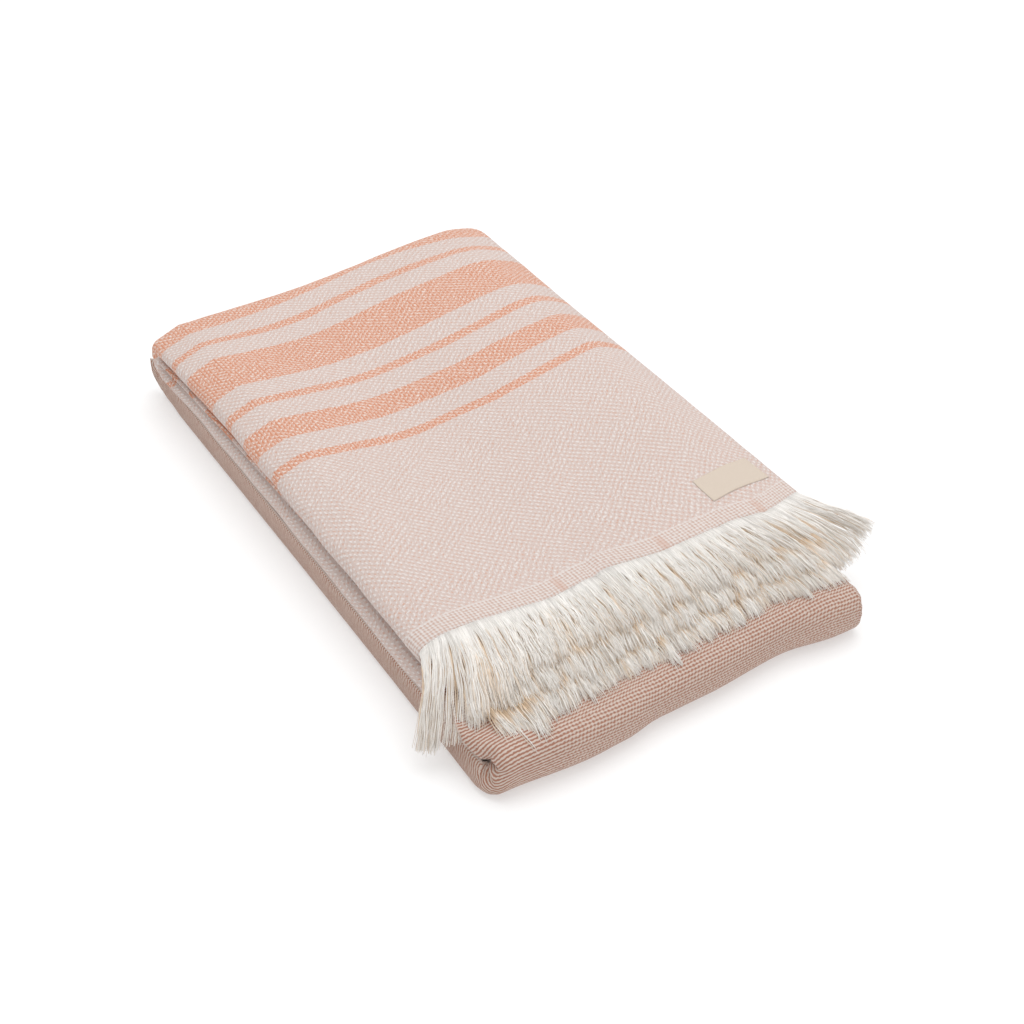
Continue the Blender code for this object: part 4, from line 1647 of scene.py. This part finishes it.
@dataclass
class SewnLabel:
    """A plain tape label with a turned edge, and the stitches that hold it."""

    corners: tuple[tuple[float, float], ...] = (
        (0.2757, 0.1170), (0.3350, 0.1230), (0.2747, 0.1442), (0.3325, 0.1520)
    )
    steps: tuple[int, int] = (56, 32)
    size: tuple[float, float] = (0.056, 0.030)
    thick: float = 0.0005
    lift: float = 0.0016
    edge: float = 0.0008
    stitch_inset: float = 0.0013
    stitch_pitch: float = 0.0026
    stitch_length: float = 0.0016
    stitch_radius: float = 0.00015

    def ground(self, s: Array, t: Array) -> Array:
        """The cloth's upper face under the label: between its corners, and down its selvedge.

        Args:
            s: Shares of the label's width.
            t: Shares of its depth.

        Returns:
            Settled points.
        """
        left, right, far_left, far_right = np.array(self.corners)
        near = left + (right - left) * s[..., None]
        far = far_left + (far_right - far_left) * s[..., None]
        flat = near + (far - near) * t[..., None]
        profile = StripProfile()
        overhang = profile.selvedge_x + profile.selvedge_shift[0] - profile.upper_span[0]
        out = np.clip((flat[..., 0] - profile.upper_span[0]) / overhang, 0.0, 0.999)
        turn = np.arcsin(out) / profile.selvedge_turn
        z = STACK.top + STACK.pitch - profile.sections[0].droop * turn**2
        return SETTLING.settle(np.stack([flat[..., 0], flat[..., 1], z], axis=-1))

    def tape(self, material: bpy.types.Material) -> bpy.types.Object:
        """The tape: a grid over the cloth, with its borders pressed down, and a flat underside.

        Args:
            material: The tape's finish.

        Returns:
            The tape.
        """
        s, t = np.meshgrid(*(np.linspace(0.0, 1.0, count + 1) for count in self.steps))
        ground = self.ground(s, t)
        x, y = s * self.size[0], t * self.size[1]
        border = np.minimum.reduce([x, self.size[0] - x, y, self.size[1] - y])
        rise = self.lift + self.thick * (0.2 + 0.8 * smooth(border / self.edge))
        upper = ground + rise[..., None] * UP
        under = ground + self.lift * UP
        points = np.concatenate([upper, under]).reshape(-1, 3)
        faces = np.concatenate(sheet_faces(*x.shape))[:, ::-1]
        pairs = np.stack([x, y], axis=-1).reshape(-1, 2)
        maps = {WEAVE_MAP: np.concatenate([pairs, pairs])}
        return new_piece("label_tape", points, faces, [material], None, maps)

    def stitches(self, material: bpy.types.Material) -> bpy.types.Object:
        """The stitches: short spindles along a line inside the edge, all one mesh.

        Args:
            material: The thread's finish.

        Returns:
            The stitches.
        """
        size = np.array(self.size)
        low = np.full(2, self.stitch_inset)
        high = size - self.stitch_inset
        middles, headings = [], []
        for axis in (0, 1):
            count = int(round((high[axis] - low[axis]) / self.stitch_pitch))
            place = low[axis] + (np.arange(count) + 0.5) * (high[axis] - low[axis]) / count
            for side in (low, high):
                spot = np.tile(side, (count, 1))
                spot[:, axis] = place
                middles.append(spot)
                headings.append(np.tile(np.eye(2)[axis], (count, 1)))
        middle, heading = np.concatenate(middles), np.concatenate(headings)
        share = np.linspace(-1.0, 1.0, 5)[None, :, None]
        line = (middle[:, None] + heading[:, None] * share * self.stitch_length / 2) / size
        ground = self.ground(line[..., 0], line[..., 1])
        ground[..., 2] += self.lift + self.thick + (0.3 - share[..., 0] ** 2) * self.stitch_radius
        aside = np.stack([heading[:, 1], -heading[:, 0], 0.0 * heading[:, 0]], axis=-1)[:, None, None]
        angle = ring_angles(4)[None, None, :, None]
        radius = self.stitch_radius * (1.0 - 0.55 * share[..., None] ** 2)
        ring = aside * np.cos(angle) + UP * np.sin(angle)
        points = (ground[:, :, None] + ring * radius).reshape(-1, 3)
        return new_piece("label_stitches", points, tube_faces(len(middle), 5, 4), [material])

    def build(self, tape: bpy.types.Material, thread: bpy.types.Material) -> None:
        """Builds the tape in place of its node, with its stitches.

        Args:
            tape: The tape's finish.
            thread: The thread's finish.
        """
        label = self.tape(tape)
        stitches = self.stitches(thread)
        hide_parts("sewn_label")
        for piece in (label, stitches):
            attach(piece, ROOT)
        LOG.info("label: tape of %d faces, with its stitches", len(label.data.polygons))


# Studio


@dataclass(frozen=True)
class Lamp:
    """A soft rectangular light: its name, where it is, what it faces, its size and its power."""

    name: str
    place: Triple
    target: Triple
    size: float
    power: float


@dataclass
class Studio:
    """A pale floor under an even white sky, soft lights from above and the front, and the camera."""

    camera_place: Triple = (-0.6097, -1.0315, 0.9734)
    camera_target: Triple = (0.0110, -0.0341, 0.0)
    lens: float = 64.4
    floor_size: float = 14.0
    floor_shade: Colour = (0.60, 0.60, 0.60)
    floor_glow: float = 0.395
    floor_gap: float = 0.0002
    sky: float = 0.80
    lamps: tuple[Lamp, ...] = (
        Lamp("overhead", (0.30, 0.25, 2.2), (0.0, 0.0, 0.0), 2.0, 27.0),
        Lamp("front_fill", (0.4, -1.9, 1.4), (0.0, -0.1, 0.0), 1.6, 2.5),
    )

    def floor(self) -> None:
        """The floor, level with the part's underside."""
        half = self.floor_size / 2
        corners = half * np.array([[-1, -1, 0], [1, -1, 0], [1, 1, 0], [-1, 1, 0]])
        corners = corners - STACK_TO_ROW - self.floor_gap * UP
        finish = PlainFinish("floor_paper", self.floor_shade, 0.9, self.floor_glow).build()
        piece = new_piece("floor", corners, np.array([[0, 1, 2, 3]]), [finish])

    def aim(self, thing: bpy.types.Object, place: Triple, target: Triple) -> None:
        """Places a camera or lamp and turns it to its target.

        Args:
            thing: The camera or lamp.
            place: Where it goes.
            target: What it faces.
        """
        thing.location = place
        heading = Vector(target) - Vector(place)
        thing.rotation_euler = heading.to_track_quat("-Z", "Y").to_euler()
        bpy.context.scene.collection.objects.link(thing)

    def build(self) -> None:
        """Builds the floor, the sky, the lamps and the camera."""
        self.floor()
        world = bpy.data.worlds.new("white_sky")
        world.use_nodes = True
        background = world.node_tree.nodes["Background"]
        background.inputs["Color"].default_value = (1.0, 1.0, 1.0, 1.0)
        background.inputs["Strength"].default_value = self.sky
        bpy.context.scene.world = world
        for lamp in self.lamps:
            light = bpy.data.lights.new(lamp.name, "AREA")
            light.shape = "SQUARE"
            light.size = lamp.size
            light.energy = lamp.power
            self.aim(bpy.data.objects.new(lamp.name, light), lamp.place, lamp.target)
        camera = bpy.data.objects.new("camera", bpy.data.cameras.new("camera"))
        camera.data.lens = self.lens
        camera.data.sensor_width = 36.0
        camera.data.clip_end = 50.0
        self.aim(camera, self.camera_place, self.camera_target)
        bpy.context.scene.camera = camera
        bpy.context.scene.view_settings.view_transform = "Standard"


def main() -> None:
    logging.basicConfig(level=logging.INFO, format="%(message)s")
    SharedEffects().build()
    cloth = FoldedCloth()
    sheet = cloth.build(LightFace().build(), RoseFace().build())
    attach(sheet, ROOT)
    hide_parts("towel_cloth")
    fringes = Fringes().build(FringeYarn().build())
    thread = PlainFinish("sewing_thread", (0.72, 0.63, 0.49), 0.8)
    SewnLabel().build(LabelTape().build(), thread.build())
    Studio().build()


if __name__ == "__main__":
    main()
